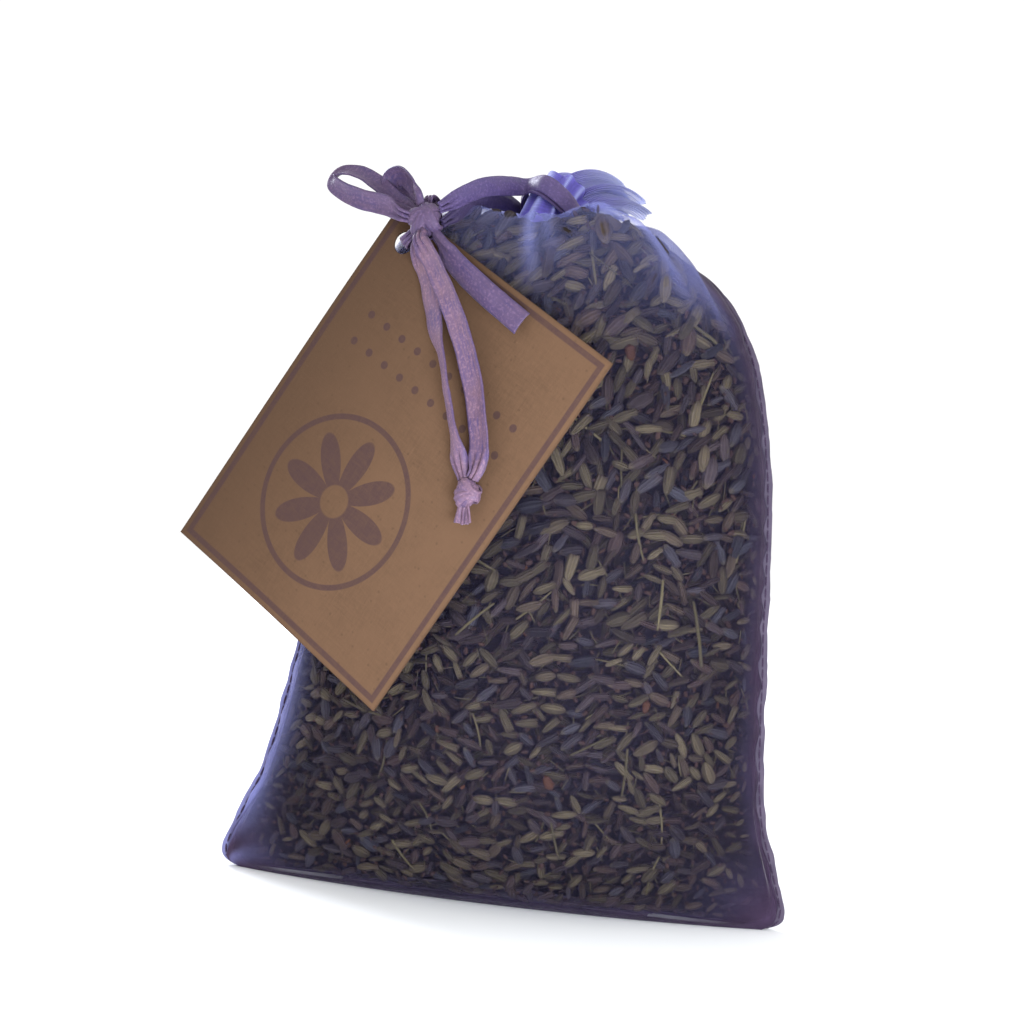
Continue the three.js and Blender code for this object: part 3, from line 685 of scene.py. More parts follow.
def place_node(tree, kind, inputs=None, **settings):
    """Adds a node, sets its options, and sets or links its inputs by name or number."""
    made = tree.nodes.new(kind)
    for option, value in settings.items():
        setattr(made, option, value)
    for key, value in (inputs or {}).items():
        socket = made.inputs[key] if isinstance(key, int) else next(
            s for s in made.inputs if s.name == key and s.enabled)
        if isinstance(value, bpy.types.NodeSocket):
            tree.links.new(value, socket)
        else:
            socket.default_value = value
    return made


def output(tree, kind, inputs=None, **settings):
    """A new node's first output."""
    return place_node(tree, kind, inputs, **settings).outputs[0]


def result(node, name=None):
    """A node's output: the named one, or the first in use."""
    return next(s for s in node.outputs if s.enabled and (name is None or s.name == name))


def calc(tree, operation, *values):
    """A Math node's result."""
    return output(tree, 'ShaderNodeMath', dict(enumerate(values)), operation=operation)


def blend_colours(tree, share, first, second, kind='MIX'):
    """A colour Mix node's result."""
    inputs = {0: share, 6: first, 7: second}
    return place_node(tree, 'ShaderNodeMix', inputs, data_type='RGBA', blend_type=kind).outputs[2]


def rgba(colour, factor=1.0):
    """An opaque colour, made lighter or darker."""
    return (*(min(channel * factor, 1.0) for channel in colour), 1.0)


def own_uv(tree):
    """A piece's own UV."""
    return output(tree, 'ShaderNodeUVMap', uv_map="UVMap")


def object_place(tree):
    """The place on a piece in Object coordinates."""
    return place_node(tree, 'ShaderNodeTexCoord').outputs["Object"]


def axes_of(tree, vector):
    """The X and Y of a vector."""
    parted = place_node(tree, 'ShaderNodeSeparateXYZ', {0: vector})
    return parted.outputs["X"], parted.outputs["Y"]


def stretched(tree, vector, scale):
    """A vector stretched by a scale for each axis."""
    return output(tree, 'ShaderNodeMapping', {"Vector": vector, "Scale": scale})


def cloudy(tree, vector, scale, detail):
    """Smooth noise from 0 to 1."""
    return output(tree, 'ShaderNodeTexNoise', {"Vector": vector, "Scale": scale, "Detail": detail})


def fade(tree, value, low, high):
    """0 where a value is low, 1 where it is high, and even between them."""
    return output(tree, 'ShaderNodeMapRange', {0: value, 1: low, 2: high})


def wave(tree, phase):
    """A sine wave from 0 to 1."""
    return calc(tree, 'MULTIPLY_ADD', calc(tree, 'SINE', phase), 0.5, 0.5)


def flat_distance(tree, x, y):
    """How far a flat place is from the origin."""
    squares = [calc(tree, 'POWER', value, 2.0) for value in (x, y)]
    return calc(tree, 'SQRT', calc(tree, 'ADD', *squares))


def dimmed(tree, colour, light):
    """A colour times a value."""
    grey = output(tree, 'ShaderNodeCombineColor', {0: light, 1: light, 2: light})
    return blend_colours(tree, 1.0, colour, grey, 'MULTIPLY')


def new_group(name, inputs, outputs, kind='ShaderNodeTree'):
    """An empty node group with named sockets, and its input and output nodes."""
    tree = bpy.data.node_groups.new(name, kind)
    for label, socket in inputs:
        tree.interface.new_socket(name=label, in_out='INPUT', socket_type=socket)
    for label, socket in outputs:
        tree.interface.new_socket(name=label, in_out='OUTPUT', socket_type=socket)
    return tree, tree.nodes.new('NodeGroupInput'), tree.nodes.new('NodeGroupOutput')


def weave_group():
    """Crossing threads on a UV in metres: how much they cover, and their height."""
    if "Crossing threads" in bpy.data.node_groups:
        return bpy.data.node_groups["Crossing threads"]
    tree, given, made = new_group(
        "Crossing threads",
        [("Vector", 'NodeSocketVector'), ("Pitch", 'NodeSocketFloat'), ("Looseness", 'NodeSocketFloat')],
        [("Cover", 'NodeSocketFloat'), ("Height", 'NodeSocketFloat')])
    drift = cloudy(tree, given.outputs["Vector"], 260.0, 2.0)
    shaken = calc(tree, 'MULTIPLY', calc(tree, 'SUBTRACT', drift, 0.5), given.outputs["Looseness"])
    turns = calc(tree, 'DIVIDE', 2 * math.pi, given.outputs["Pitch"])
    threads = [
        wave(tree, calc(tree, 'ADD', calc(tree, 'MULTIPLY', axis, turns), shaken))
        for axis in axes_of(tree, given.outputs["Vector"])
    ]
    height = calc(tree, 'MAXIMUM', *threads)
    tree.links.new(height, made.inputs["Height"])
    tree.links.new(calc(tree, 'POWER', height, 2.0), made.inputs["Cover"])
    return tree


def drift_group():
    """Slow change of tone over a surface, on Object coordinates or a UV."""
    if "Drift of tone" in bpy.data.node_groups:
        return bpy.data.node_groups["Drift of tone"]
    tree, given, made = new_group(
        "Drift of tone",
        [("Vector", 'NodeSocketVector'), ("Scale", 'NodeSocketFloat'),
         ("First", 'NodeSocketColor'), ("Second", 'NodeSocketColor')],
        [("Color", 'NodeSocketColor'), ("Share", 'NodeSocketFloat')])
    cloud = output(tree, 'ShaderNodeTexNoise', {
        "Vector": given.outputs["Vector"], "Scale": given.outputs["Scale"], "Detail": 4.0, "Roughness": 0.6})
    share = fade(tree, cloud, 0.3, 0.7)
    colour = blend_colours(tree, share, given.outputs["First"], given.outputs["Second"])
    tree.links.new(colour, made.inputs["Color"])
    tree.links.new(share, made.inputs["Share"])
    return tree


def new_material(name, **constants):
    """A material's tree and its Principled shader, with values that are the same all over."""
    material = bpy.data.materials.new(name)
    material.use_nodes = True
    tree = material.node_tree
    shader = tree.nodes["Principled BSDF"]
    for label, value in constants.items():
        shader.inputs[label.replace("_", " ")].default_value = value
    return material, tree, shader


def use_group(tree, group, inputs):
    """A node that stands for a group."""
    return place_node(tree, 'ShaderNodeGroup', inputs, node_tree=group)


def toned(tree, vector, scale, first, second):
    """A node that drifts from one colour to another."""
    return use_group(tree, drift_group(), {
        "Vector": vector, "Scale": scale, "First": first, "Second": second})


def add_bump(tree, shader, height, distance, strength=1.0):
    """Fine relief on a shader."""
    bump = output(tree, 'ShaderNodeBump', {"Height": height, "Distance": distance, "Strength": strength})
    tree.links.new(bump, shader.inputs["Normal"])


def attribute_value(tree, label):
    """A value that a mesh carries."""
    return place_node(tree, 'ShaderNodeAttribute', attribute_name=label).outputs["Fac"]


def organza_material(name, cloth, colour, cover, gathered_cover, tone=1.0):
    """Sheer crossed threads that hide more where the cloth is gathered."""
    material, tree, shader = new_material(
        name, Roughness=0.5, Specular_IOR_Level=0.12, Sheen_Weight=0.06, Sheen_Roughness=0.35,
        Sheen_Tint=(0.62, 0.64, 0.95, 1), IOR=1.4)
    uv = own_uv(tree)
    weave = use_group(tree, weave_group(), {"Vector": uv, "Pitch": cloth.thread_pitch, "Looseness": 1.6})
    drift = toned(tree, uv, 180.0, rgba(colour, 0.75), rgba(colour, 1.3))
    # The pale colour, brightened by tone, laid on where the mesh is pale: partly the cloth's own layers,
    # partly painted light
    pale = attribute_value(tree, "pale")
    tinted = blend_colours(tree, pale, drift.outputs["Color"], rgba(cloth.pale, tone))
    hidden = calc(tree, 'MULTIPLY_ADD', attribute_value(tree, "gather"), gathered_cover - cover, cover)
    threads = calc(tree, 'MULTIPLY_ADD', weave.outputs["Cover"], 0.25, 0.82)
    alpha = calc(tree, 'MINIMUM', calc(tree, 'MULTIPLY', hidden, threads), 1.0)
    tree.links.new(tinted, shader.inputs["Base Color"])
    tree.links.new(alpha, shader.inputs["Alpha"])
    add_bump(tree, shader, weave.outputs["Height"], 0.04 * MM, 0.6)
    return material


def satin_material(name, ribbon, tone, cool):
    """Mauve satin, cooler in the shade: fine threads along the ribbon, firm edges and soft creases."""
    # Painted shade: cool blends in the ribbon's shade colour and tone darkens it, so copies of this satin
    # stand lit or shaded
    colour = Vector(ribbon.colour).lerp(Vector(ribbon.shade), cool)
    material, tree, shader = new_material(
        name, Specular_IOR_Level=0.35, Sheen_Weight=0.12, Sheen_Roughness=0.3,
        Sheen_Tint=(0.9, 0.75, 0.85, 1), IOR=1.4)
    uv = own_uv(tree)
    place = object_place(tree)
    weave = use_group(tree, weave_group(), {"Vector": uv, "Pitch": 0.24 * MM, "Looseness": 0.8})
    streak = cloudy(tree, stretched(tree, uv, (2600, 160, 1)), 1.0, 3.0)
    drift = toned(tree, place, 170.0, rgba(ribbon.shade, tone), rgba(colour, 1.15 * tone))
    streaked = blend_colours(
        tree, fade(tree, streak, 0.35, 0.75), drift.outputs["Color"], rgba(colour, 1.2 * tone))
    speck = fade(tree, cloudy(tree, place, 2400.0, 2.0), 0.5, 0.75)
    speckled = blend_colours(tree, speck, streaked, rgba(colour, 1.7 * tone))
    from_middle = calc(tree, 'ABSOLUTE', axes_of(tree, uv)[0])
    selvedge = fade(tree, from_middle, ribbon.width * 0.41, ribbon.width * 0.46)
    firmness = calc(tree, 'MULTIPLY', selvedge, 0.45)
    edged = blend_colours(tree, firmness, speckled, rgba(ribbon.shade, 0.75 * tone))
    tree.links.new(edged, shader.inputs["Base Color"])
    roughness = output(tree, 'ShaderNodeMapRange', {0: streak, 3: 0.34, 4: 0.62})
    tree.links.new(roughness, shader.inputs["Roughness"])
    height = calc(tree, 'ADD', calc(tree, 'MULTIPLY', weave.outputs["Height"], 0.4), streak)
    add_bump(tree, shader, height, 0.07 * MM, 0.8)
    return material


def bud_material(name, lavender, tone, ribs=9):
    """Dried calyx: ribs along it, a dry pale foot, a darker mouth, and its own tint for each bud."""
    material, tree, shader = new_material(name, Roughness=0.8, Specular_IOR_Level=0.18, IOR=1.4)
    around, along = axes_of(tree, own_uv(tree))
    ramp = place_node(tree, 'ShaderNodeValToRGB', {0: attribute_value(tree, "tint")})
    tints = ramp.color_ramp.elements
    tints[0].color = rgba(lavender.olive)
    tints[1].color = rgba(lavender.slate)
    tints.new(0.6).color = rgba(lavender.plum)
    tints.new(0.3).color = rgba(lavender.olive, 1.3)
    ribbed = wave(tree, calc(tree, 'MULTIPLY', around, 2 * math.pi * ribs))
    mouth = calc(tree, 'MULTIPLY', fade(tree, along, 0.7, 1.0), 0.6)
    foot = calc(tree, 'MULTIPLY', fade(tree, along, 0.22, 0.0), 0.7)
    fleck = cloudy(tree, object_place(tree), 1500.0, 3.0)
    # Each bud's brightness at random, with painted shade towards the floor and in the grooves between its
    # ribs, and flecks
    light = calc(tree, 'MULTIPLY_ADD', attribute_value(tree, "shade"), tone, 0.45 * tone)
    light = calc(tree, 'MULTIPLY', light, calc(tree, 'MULTIPLY_ADD', ribbed, 0.35, 0.78))
    light = calc(tree, 'MULTIPLY', light, calc(tree, 'MULTIPLY_ADD', fleck, 0.7, 0.62))
    colour = blend_colours(tree, mouth, ramp.outputs[0], rgba(lavender.plum, 0.8))
    colour = blend_colours(tree, foot, colour, rgba(lavender.olive, 1.5))
    tree.links.new(dimmed(tree, colour, light), shader.inputs["Base Color"])
    add_bump(tree, shader, calc(tree, 'ADD', ribbed, fleck), 0.16 * MM, 0.8)
    return material


def litter_material(name, first, second):
    """Dry stalks and torn petals, streaked along their length."""
    material, tree, shader = new_material(name, Roughness=0.75, Specular_IOR_Level=0.2, IOR=1.4)
    tone = toned(tree, stretched(tree, own_uv(tree), (9, 2, 1)), 1.5, rgba(first), rgba(second))
    # Each piece's brightness at random, with painted shade towards the floor
    shade = calc(tree, 'MULTIPLY_ADD', attribute_value(tree, "shade"), 0.8, 0.5)
    tree.links.new(dimmed(tree, tone.outputs["Color"], shade), shader.inputs["Base Color"])
    add_bump(tree, shader, tone.outputs["Share"], 0.1 * MM, 0.7)
    return material


def core_material(lavender):
    """The dim mass of buds behind the ones that show."""
    material, tree, shader = new_material("bud_mass", Roughness=0.95, Specular_IOR_Level=0.05, IOR=1.3)
    place = object_place(tree)
    squeezed = stretched(tree, place, (260, 420, 420))
    cells = place_node(tree, 'ShaderNodeTexVoronoi', {"Vector": squeezed, "Scale": 1.0})
    # Painted shade: the buds' own plum and slate at a quarter of their brightness
    tone = toned(tree, place, 90.0, rgba(lavender.plum, 0.25), rgba(lavender.slate, 0.25))
    tree.links.new(tone.outputs["Color"], shader.inputs["Base Color"])
    add_bump(tree, shader, cells.outputs["Distance"], 0.8 * MM, 0.9)
    return material


# The card's print in metres from its middle; an edge says where the ink starts and where it is full
BORDER_OUTER_EDGE = (0.8 * MM, 0.95 * MM)
BORDER_INNER_EDGE = (1.95 * MM, 1.75 * MM)
ROSETTE_AT = (-3 * MM, -12 * MM)
ROSETTE_PETALS = 8
PETAL_FOOT = 3.2 * MM
PETAL_LENGTH = 8.5 * MM
PETAL_EDGE = (-0.15 * MM, 0.2 * MM)
EYE_EDGE = (2.6 * MM, 2.9 * MM)
RING_RADIUS = 14.2 * MM
RING_EDGE = (0.55 * MM, 0.4 * MM)
DOTS_AT = (-40 * MM, 13.5 * MM)
DOT_HALF_PITCH = 1.9 * MM
DOT_ROW_OFFSET = 2.6 * MM
DOT_EDGE = (0.75 * MM, 0.6 * MM)
DOT_ROW_END = (19 * MM, 18.6 * MM)

# Where the card is darker: painted shade towards its left side, and along its cut edge
SHADED_SIDE = (4 * MM, -25 * MM)
CUT_EDGE = (0.35 * MM, 0.02 * MM)


def card_paper(tree, tag, uv):
    """Kraft paper's colour, with blotches, fibres and flecks, and its fibres."""

    def strands(scale):
        turned = output(tree, 'ShaderNodeMapping', {"Vector": uv, "Scale": scale, "Rotation": (0, 0, 0.5)})
        return output(tree, 'ShaderNodeTexNoise', {
            "Vector": turned, "Scale": 1.0, "Detail": 4.0, "Distortion": 0.8})

    crossing = calc(tree, 'MULTIPLY', strands((420, 2200, 1)), 0.5)
    fibre = calc(tree, 'MULTIPLY_ADD', strands((2400, 420, 1)), 0.5, crossing)
    tone = toned(tree, uv, 75.0, rgba(tag.card, 0.84), rgba(tag.card, 1.12))
    paper = blend_colours(tree, fade(tree, fibre, 0.35, 0.65), tone.outputs["Color"], rgba(tag.card, 1.12))
    grain = place_node(tree, 'ShaderNodeTexVoronoi', {"Vector": uv, "Scale": 520.0, "Randomness": 1.0})
    fleck = calc(tree, 'MULTIPLY', fade(tree, grain.outputs["Distance"], 0.16, 0.05), 0.35)
    return blend_colours(tree, fleck, paper, rgba(tag.card, 0.45)), fibre


def card_rosette(tree, x, y):
    """Ink of a petalled flower with a plain eye, in a ring."""
    aside = calc(tree, 'SUBTRACT', x, ROSETTE_AT[0])
    above = calc(tree, 'SUBTRACT', y, ROSETTE_AT[1])
    reach = flat_distance(tree, aside, above)
    turn = calc(tree, 'MULTIPLY', calc(tree, 'ARCTAN2', above, aside), ROSETTE_PETALS / 2)
    petal = calc(tree, 'ABSOLUTE', calc(tree, 'COSINE', turn))
    petal_end = calc(tree, 'MULTIPLY_ADD', petal, PETAL_LENGTH, PETAL_FOOT)
    flower = fade(tree, calc(tree, 'SUBTRACT', petal_end, reach), *PETAL_EDGE)
    flower = calc(tree, 'MULTIPLY', flower, fade(tree, reach, *EYE_EDGE))
    from_ring = calc(tree, 'ABSOLUTE', calc(tree, 'SUBTRACT', reach, RING_RADIUS))
    return calc(tree, 'MAXIMUM', flower, fade(tree, from_ring, *RING_EDGE))


def card_dots(tree, x, y):
    """Ink of two rows of dots."""
    from_dot = calc(tree, 'PINGPONG', calc(tree, 'SUBTRACT', x, DOTS_AT[0]), DOT_HALF_PITCH)
    from_middle = calc(tree, 'ABSOLUTE', calc(tree, 'SUBTRACT', y, DOTS_AT[1]))
    from_row = calc(tree, 'ABSOLUTE', calc(tree, 'SUBTRACT', from_middle, DOT_ROW_OFFSET))
    dots = fade(tree, flat_distance(tree, from_dot, from_row), *DOT_EDGE)
    return calc(tree, 'MULTIPLY', dots, fade(tree, calc(tree, 'ABSOLUTE', x), *DOT_ROW_END))


def card_material(tag):
    """Kraft card, printed on one face with a border, a rosette and dots, and worn, with painted shade
    towards its left side.
    """
    material, tree, shader = new_material("kraft_card", Roughness=0.85, Specular_IOR_Level=0.25, IOR=1.4)
    uv = own_uv(tree)
    x, y = axes_of(tree, uv)
    paper, fibre = card_paper(tree, tag, uv)
    # Painted shade: the card is darker towards its left side
    painted_shade = calc(tree, 'MULTIPLY', fade(tree, x, *SHADED_SIDE), 0.8)
    paper = blend_colours(tree, painted_shade, paper, rgba(tag.card, 0.6))
    from_side = calc(tree, 'SUBTRACT', tag.width / 2, calc(tree, 'ABSOLUTE', x))
    from_end = calc(tree, 'SUBTRACT', tag.height / 2, calc(tree, 'ABSOLUTE', y))
    inset = calc(tree, 'MINIMUM', from_side, from_end)
    border = calc(
        tree, 'MULTIPLY', fade(tree, inset, *BORDER_OUTER_EDGE), fade(tree, inset, *BORDER_INNER_EDGE))
    ink = calc(tree, 'MAXIMUM', border, calc(
        tree, 'MAXIMUM', card_rosette(tree, x, y), card_dots(tree, x, y)))
    ink = calc(tree, 'MULTIPLY', ink, attribute_value(tree, "printed"))
    wear = calc(tree, 'MULTIPLY_ADD', fade(tree, fibre, 0.35, 0.6), 0.25, 0.55)
    printed = blend_colours(tree, calc(tree, 'MULTIPLY', ink, wear), paper, rgba(tag.ink))
    rim = calc(tree, 'MULTIPLY', fade(tree, inset, *CUT_EDGE), 0.5)
    tree.links.new(blend_colours(tree, rim, printed, rgba(tag.card, 0.6)), shader.inputs["Base Color"])
    add_bump(tree, shader, fibre, 0.12 * MM, 0.5)
    return material


def thread_material(cloth, twists=30.0):
    """Sewing thread with its twist."""
    material, tree, shader = new_material("seam_thread", Roughness=0.6, Specular_IOR_Level=0.2, IOR=1.4)
    around, along = axes_of(tree, own_uv(tree))
    turn = calc(tree, 'MULTIPLY_ADD', along, twists, calc(tree, 'MULTIPLY', around, 2 * math.pi))
    twist = wave(tree, turn)
    # Painted shade in the twist's grooves and lighter ridges, on top of its relief
    colour = blend_colours(tree, twist, rgba(cloth.colour, 0.6), rgba(cloth.colour, 1.7))
    tree.links.new(colour, shader.inputs["Base Color"])
    add_bump(tree, shader, twist, 0.05 * MM)
    return material


def floor_material():
    """Pale, faintly uneven paper."""
    material, tree, shader = new_material("pale_floor", Roughness=0.9, IOR=1.2)
    tone = toned(tree, object_place(tree), 3.0, (0.93, 0.93, 0.93, 1), (0.95, 0.95, 0.95, 1))
    tree.links.new(tone.outputs["Color"], shader.inputs["Base Color"])
    return material


# Geometry Nodes

def made_real(tree, laid, finish):
    """Instances turned into one smooth mesh with its finish."""
    real = output(tree, 'GeometryNodeRealizeInstances', {"Geometry": laid})
    smooth = output(tree, 'GeometryNodeSetShadeSmooth', {"Geometry": real, "Shade Smooth": True})
    return output(tree, 'GeometryNodeSetMaterial', {"Geometry": smooth, "Material": finish})


def packed(tree, x=0.0, y=0.0, z=0.0):
    """A vector from three values."""
    return output(tree, 'ShaderNodeCombineXYZ', {0: x, 1: y, 2: z})


# What the scattered shapes share: most points per square metre, how much their headings swirl from patch to
# patch, and how much their sizes and girths vary
MOST_POINTS = 3.0e6
SWIRL = 5.0
SIZE_RANGE = (0.72, 1.2)
GIRTH_RANGE = (0.8, 1.2)


def scatter_tree():
    """Lays variants of a small shape on a surface, flat against it and flowing in patches."""
    if "Laid on a surface" in bpy.data.node_groups:
        return bpy.data.node_groups["Laid on a surface"]
    numbers = ("Spacing", "Share", "Length", "Lean", "Rise", "Flow", "Disorder", "Sink", "Taper")
    tree, given, made = new_group(
        "Laid on a surface",
        [("Surface", 'NodeSocketGeometry'), ("Shapes", 'NodeSocketCollection'),
         *((label, 'NodeSocketFloat') for label in numbers),
         ("Seed", 'NodeSocketInt'), ("Finish", 'NodeSocketMaterial')],
        [("Laid", 'NodeSocketGeometry')], 'GeometryNodeTree')
    asked = given.outputs
    points = place_node(tree, 'GeometryNodeDistributePointsOnFaces', {
        "Mesh": asked["Surface"], "Distance Min": asked["Spacing"], "Density Max": MOST_POINTS,
        "Density Factor": asked["Share"], "Seed": asked["Seed"]}, distribute_method='POISSON')
    normal = points.outputs["Normal"]

    def random(low, high, step):
        seed = output(tree, 'FunctionNodeIntegerMath', {0: asked["Seed"], 1: step}, operation='ADD')
        inputs = {"Min": low, "Max": high, "Seed": seed}
        return result(place_node(tree, 'FunctionNodeRandomValue', inputs, data_type='FLOAT'))

    # Heading along the surface, then a lean out of it and a roll about the shape's own length
    position = tree.nodes.new('GeometryNodeInputPosition').outputs[0]
    height = place_node(tree, 'ShaderNodeSeparateXYZ', {0: position}).outputs["Z"]
    patch = cloudy(tree, position, asked["Flow"], 1.0)
    swirl = calc(tree, 'MULTIPLY', calc(tree, 'SUBTRACT', patch, 0.5), SWIRL)
    heading = calc(tree, 'MULTIPLY_ADD', height, asked["Rise"], swirl)
    heading = calc(tree, 'ADD', heading, calc(tree, 'MULTIPLY', random(-1.0, 1.0, 1), asked["Disorder"]))
    along = packed(tree, x=calc(tree, 'COSINE', heading), z=calc(tree, 'SINE', heading))
    facing = output(tree, 'FunctionNodeAxesToRotation', {
        0: normal, 1: along}, primary_axis='Z', secondary_axis='X')
    lean = calc(tree, 'MULTIPLY', random(-1.0, 1.0, 2), asked["Lean"])
    turned = packed(tree, x=random(0.0, 2 * math.pi, 3), y=lean)
    own_turn = output(tree, 'FunctionNodeEulerToRotation', {0: turned})
    rolled = output(tree, 'FunctionNodeRotateRotation', {
        "Rotation": facing, "Rotate By": own_turn}, rotation_space='LOCAL')

    # Size, smaller low down and where the surface leaves little room; being low down also darkens with
    # painted shade
    low_down = fade(tree, height, RIM_HEIGHT * MM, 0.0)
    full = calc(tree, 'SUBTRACT', 1.0, calc(tree, 'MULTIPLY', low_down, asked["Taper"]))
    room = place_node(tree, 'GeometryNodeInputNamedAttribute', {"Name": "room"}, data_type='FLOAT')
    size = calc(tree, 'MULTIPLY', calc(tree, 'MULTIPLY', asked["Length"], full), random(*SIZE_RANGE, 4))
    size = calc(tree, 'MULTIPLY', size, result(room, "Attribute"))
    girth = calc(tree, 'MULTIPLY', size, random(*GIRTH_RANGE, 5))

    shapes = place_node(tree, 'GeometryNodeCollectionInfo', {
        "Collection": asked["Shapes"], "Separate Children": True, "Reset Children": True})
    depth = calc(tree, 'MULTIPLY', random(-1.0, 0.0, 8), asked["Sink"])
    inwards = output(tree, 'ShaderNodeVectorMath', {0: normal, "Scale": depth}, operation='SCALE')
    sunk = output(tree, 'GeometryNodeSetPosition', {
        "Geometry": points.outputs["Points"], "Offset": inwards})
    laid = output(tree, 'GeometryNodeInstanceOnPoints', {
        "Points": sunk, "Instance": shapes.outputs[0], "Pick Instance": True,
        "Rotation": rolled, "Scale": packed(tree, size, girth, girth)})
    # Each shape's own brightness at random, darkened towards the floor with painted shade
    shade = calc(tree, 'MULTIPLY', random(0.0, 1.0, 7), full)
    for label, value in (("tint", random(0.0, 1.0, 6)), ("shade", shade)):
        laid = output(tree, 'GeometryNodeStoreNamedAttribute', {
            "Geometry": laid, "Name": label, "Value": value}, data_type='FLOAT', domain='INSTANCE')
    tree.links.new(made_real(tree, laid, asked["Finish"]), made.inputs[0])
    return tree


def stitch_tree():
    """Sets stitches end to end along a line."""
    if "Stitches on a line" in bpy.data.node_groups:
        return bpy.data.node_groups["Stitches on a line"]
    tree, given, made = new_group(
        "Stitches on a line",
        [("Line", 'NodeSocketGeometry'), ("Stitch", 'NodeSocketObject'), ("Length", 'NodeSocketFloat'),
         ("Finish", 'NodeSocketMaterial')],
        [("Stitches", 'NodeSocketGeometry')], 'GeometryNodeTree')
    length = given.outputs["Length"]
    curve = output(tree, 'GeometryNodeMeshToCurve', {0: given.outputs["Line"]})
    spaced = output(tree, 'GeometryNodeResampleCurve', {
        "Curve": curve, "Length": length}, mode='LENGTH')
    tangent = tree.nodes.new('GeometryNodeInputTangent').outputs[0]
    facing = output(tree, 'FunctionNodeAlignRotationToVector', {"Vector": tangent}, axis='X')
    shape = place_node(tree, 'GeometryNodeObjectInfo', {"Object": given.outputs["Stitch"]})
    laid = output(tree, 'GeometryNodeInstanceOnPoints', {
        "Points": spaced, "Instance": result(shape, "Geometry"), "Rotation": facing,
        "Scale": packed(tree, length, length, length)})
    tree.links.new(made_real(tree, laid, given.outputs["Finish"]), made.inputs[0])
    return tree


def grow(piece, tree, values):
    """Runs a node tree on a piece and keeps its result as the piece's plain mesh."""
    modifier = piece.modifiers.new("nodes", 'NODES')
    modifier.node_group = tree
    for item in tree.interface.items_tree:
        if item.in_out == 'INPUT' and item.name in values:
            modifier[item.identifier] = values[item.name]
    graph = bpy.context.evaluated_depsgraph_get()
    graph.update()
    grown = piece.evaluated_get(graph)
    made = bpy.data.meshes.new_from_object(grown, preserve_all_data_layers=True, depsgraph=graph)
    if not made.polygons:
        raise RuntimeError(f"{piece.name} grew nothing")
    guide = piece.data
    piece.modifiers.clear()
    made.name = piece.name
    piece.data = made
    bpy.data.meshes.remove(guide)


STALK_RINGS = ((-0.5, 0), (-0.49, 0.028), (-0.1, 0.03), (0.25, 0.027), (0.49, 0.02), (0.5, 0))
CRUMB_RINGS = ((-0.5, 0), (-0.3, 0.22), (0.2, 0.3), (0.5, 0))


def spindle_parts(rings, sides, flatness=1.0, rib=0.0, bend=0.0):
    """Vertices, faces and UVs of a small shape of length 1 along X, from a list of places and radii."""
    vertices, uv = [(rings[0][0], 0, 0)], [(0.5, 0)]
    for place, radius in rings[1:-1]:
        for index in range(sides):
            angle = 2 * math.pi * index / sides
            reach = radius * (1 + rib * (-1) ** index)
            sag = bend * (0.25 - place * place)
            vertices.append((place, reach * math.cos(angle), reach * flatness * math.sin(angle) + sag))
            uv.append((index / sides, place + 0.5))
    vertices.append((rings[-1][0], 0, 0))
    uv.append((0.5, 1))
    return vertices, ring_faces(len(rings) - 2, sides), uv


def spindle(name, rings, sides, flatness=1.0, rib=0.0, bend=0.0):
    """A small shape of length 1 along X, as an object."""
    return new_piece(name, *spindle_parts(rings, sides, flatness, rib, bend))


def shape_collection(name, shapes):
    """Puts shapes into a collection of their own, out of the scene."""
    collection = bpy.data.collections.new(name)
    for shape in shapes:
        collection.objects.link(shape)
        bpy.context.scene.collection.objects.unlink(shape)
    return collection


def discard(collection):
    """Removes a collection and the shapes in it."""
    for shape in list(collection.objects):
        bpy.data.meshes.remove(shape.data)
    bpy.data.collections.remove(collection)


# Operators

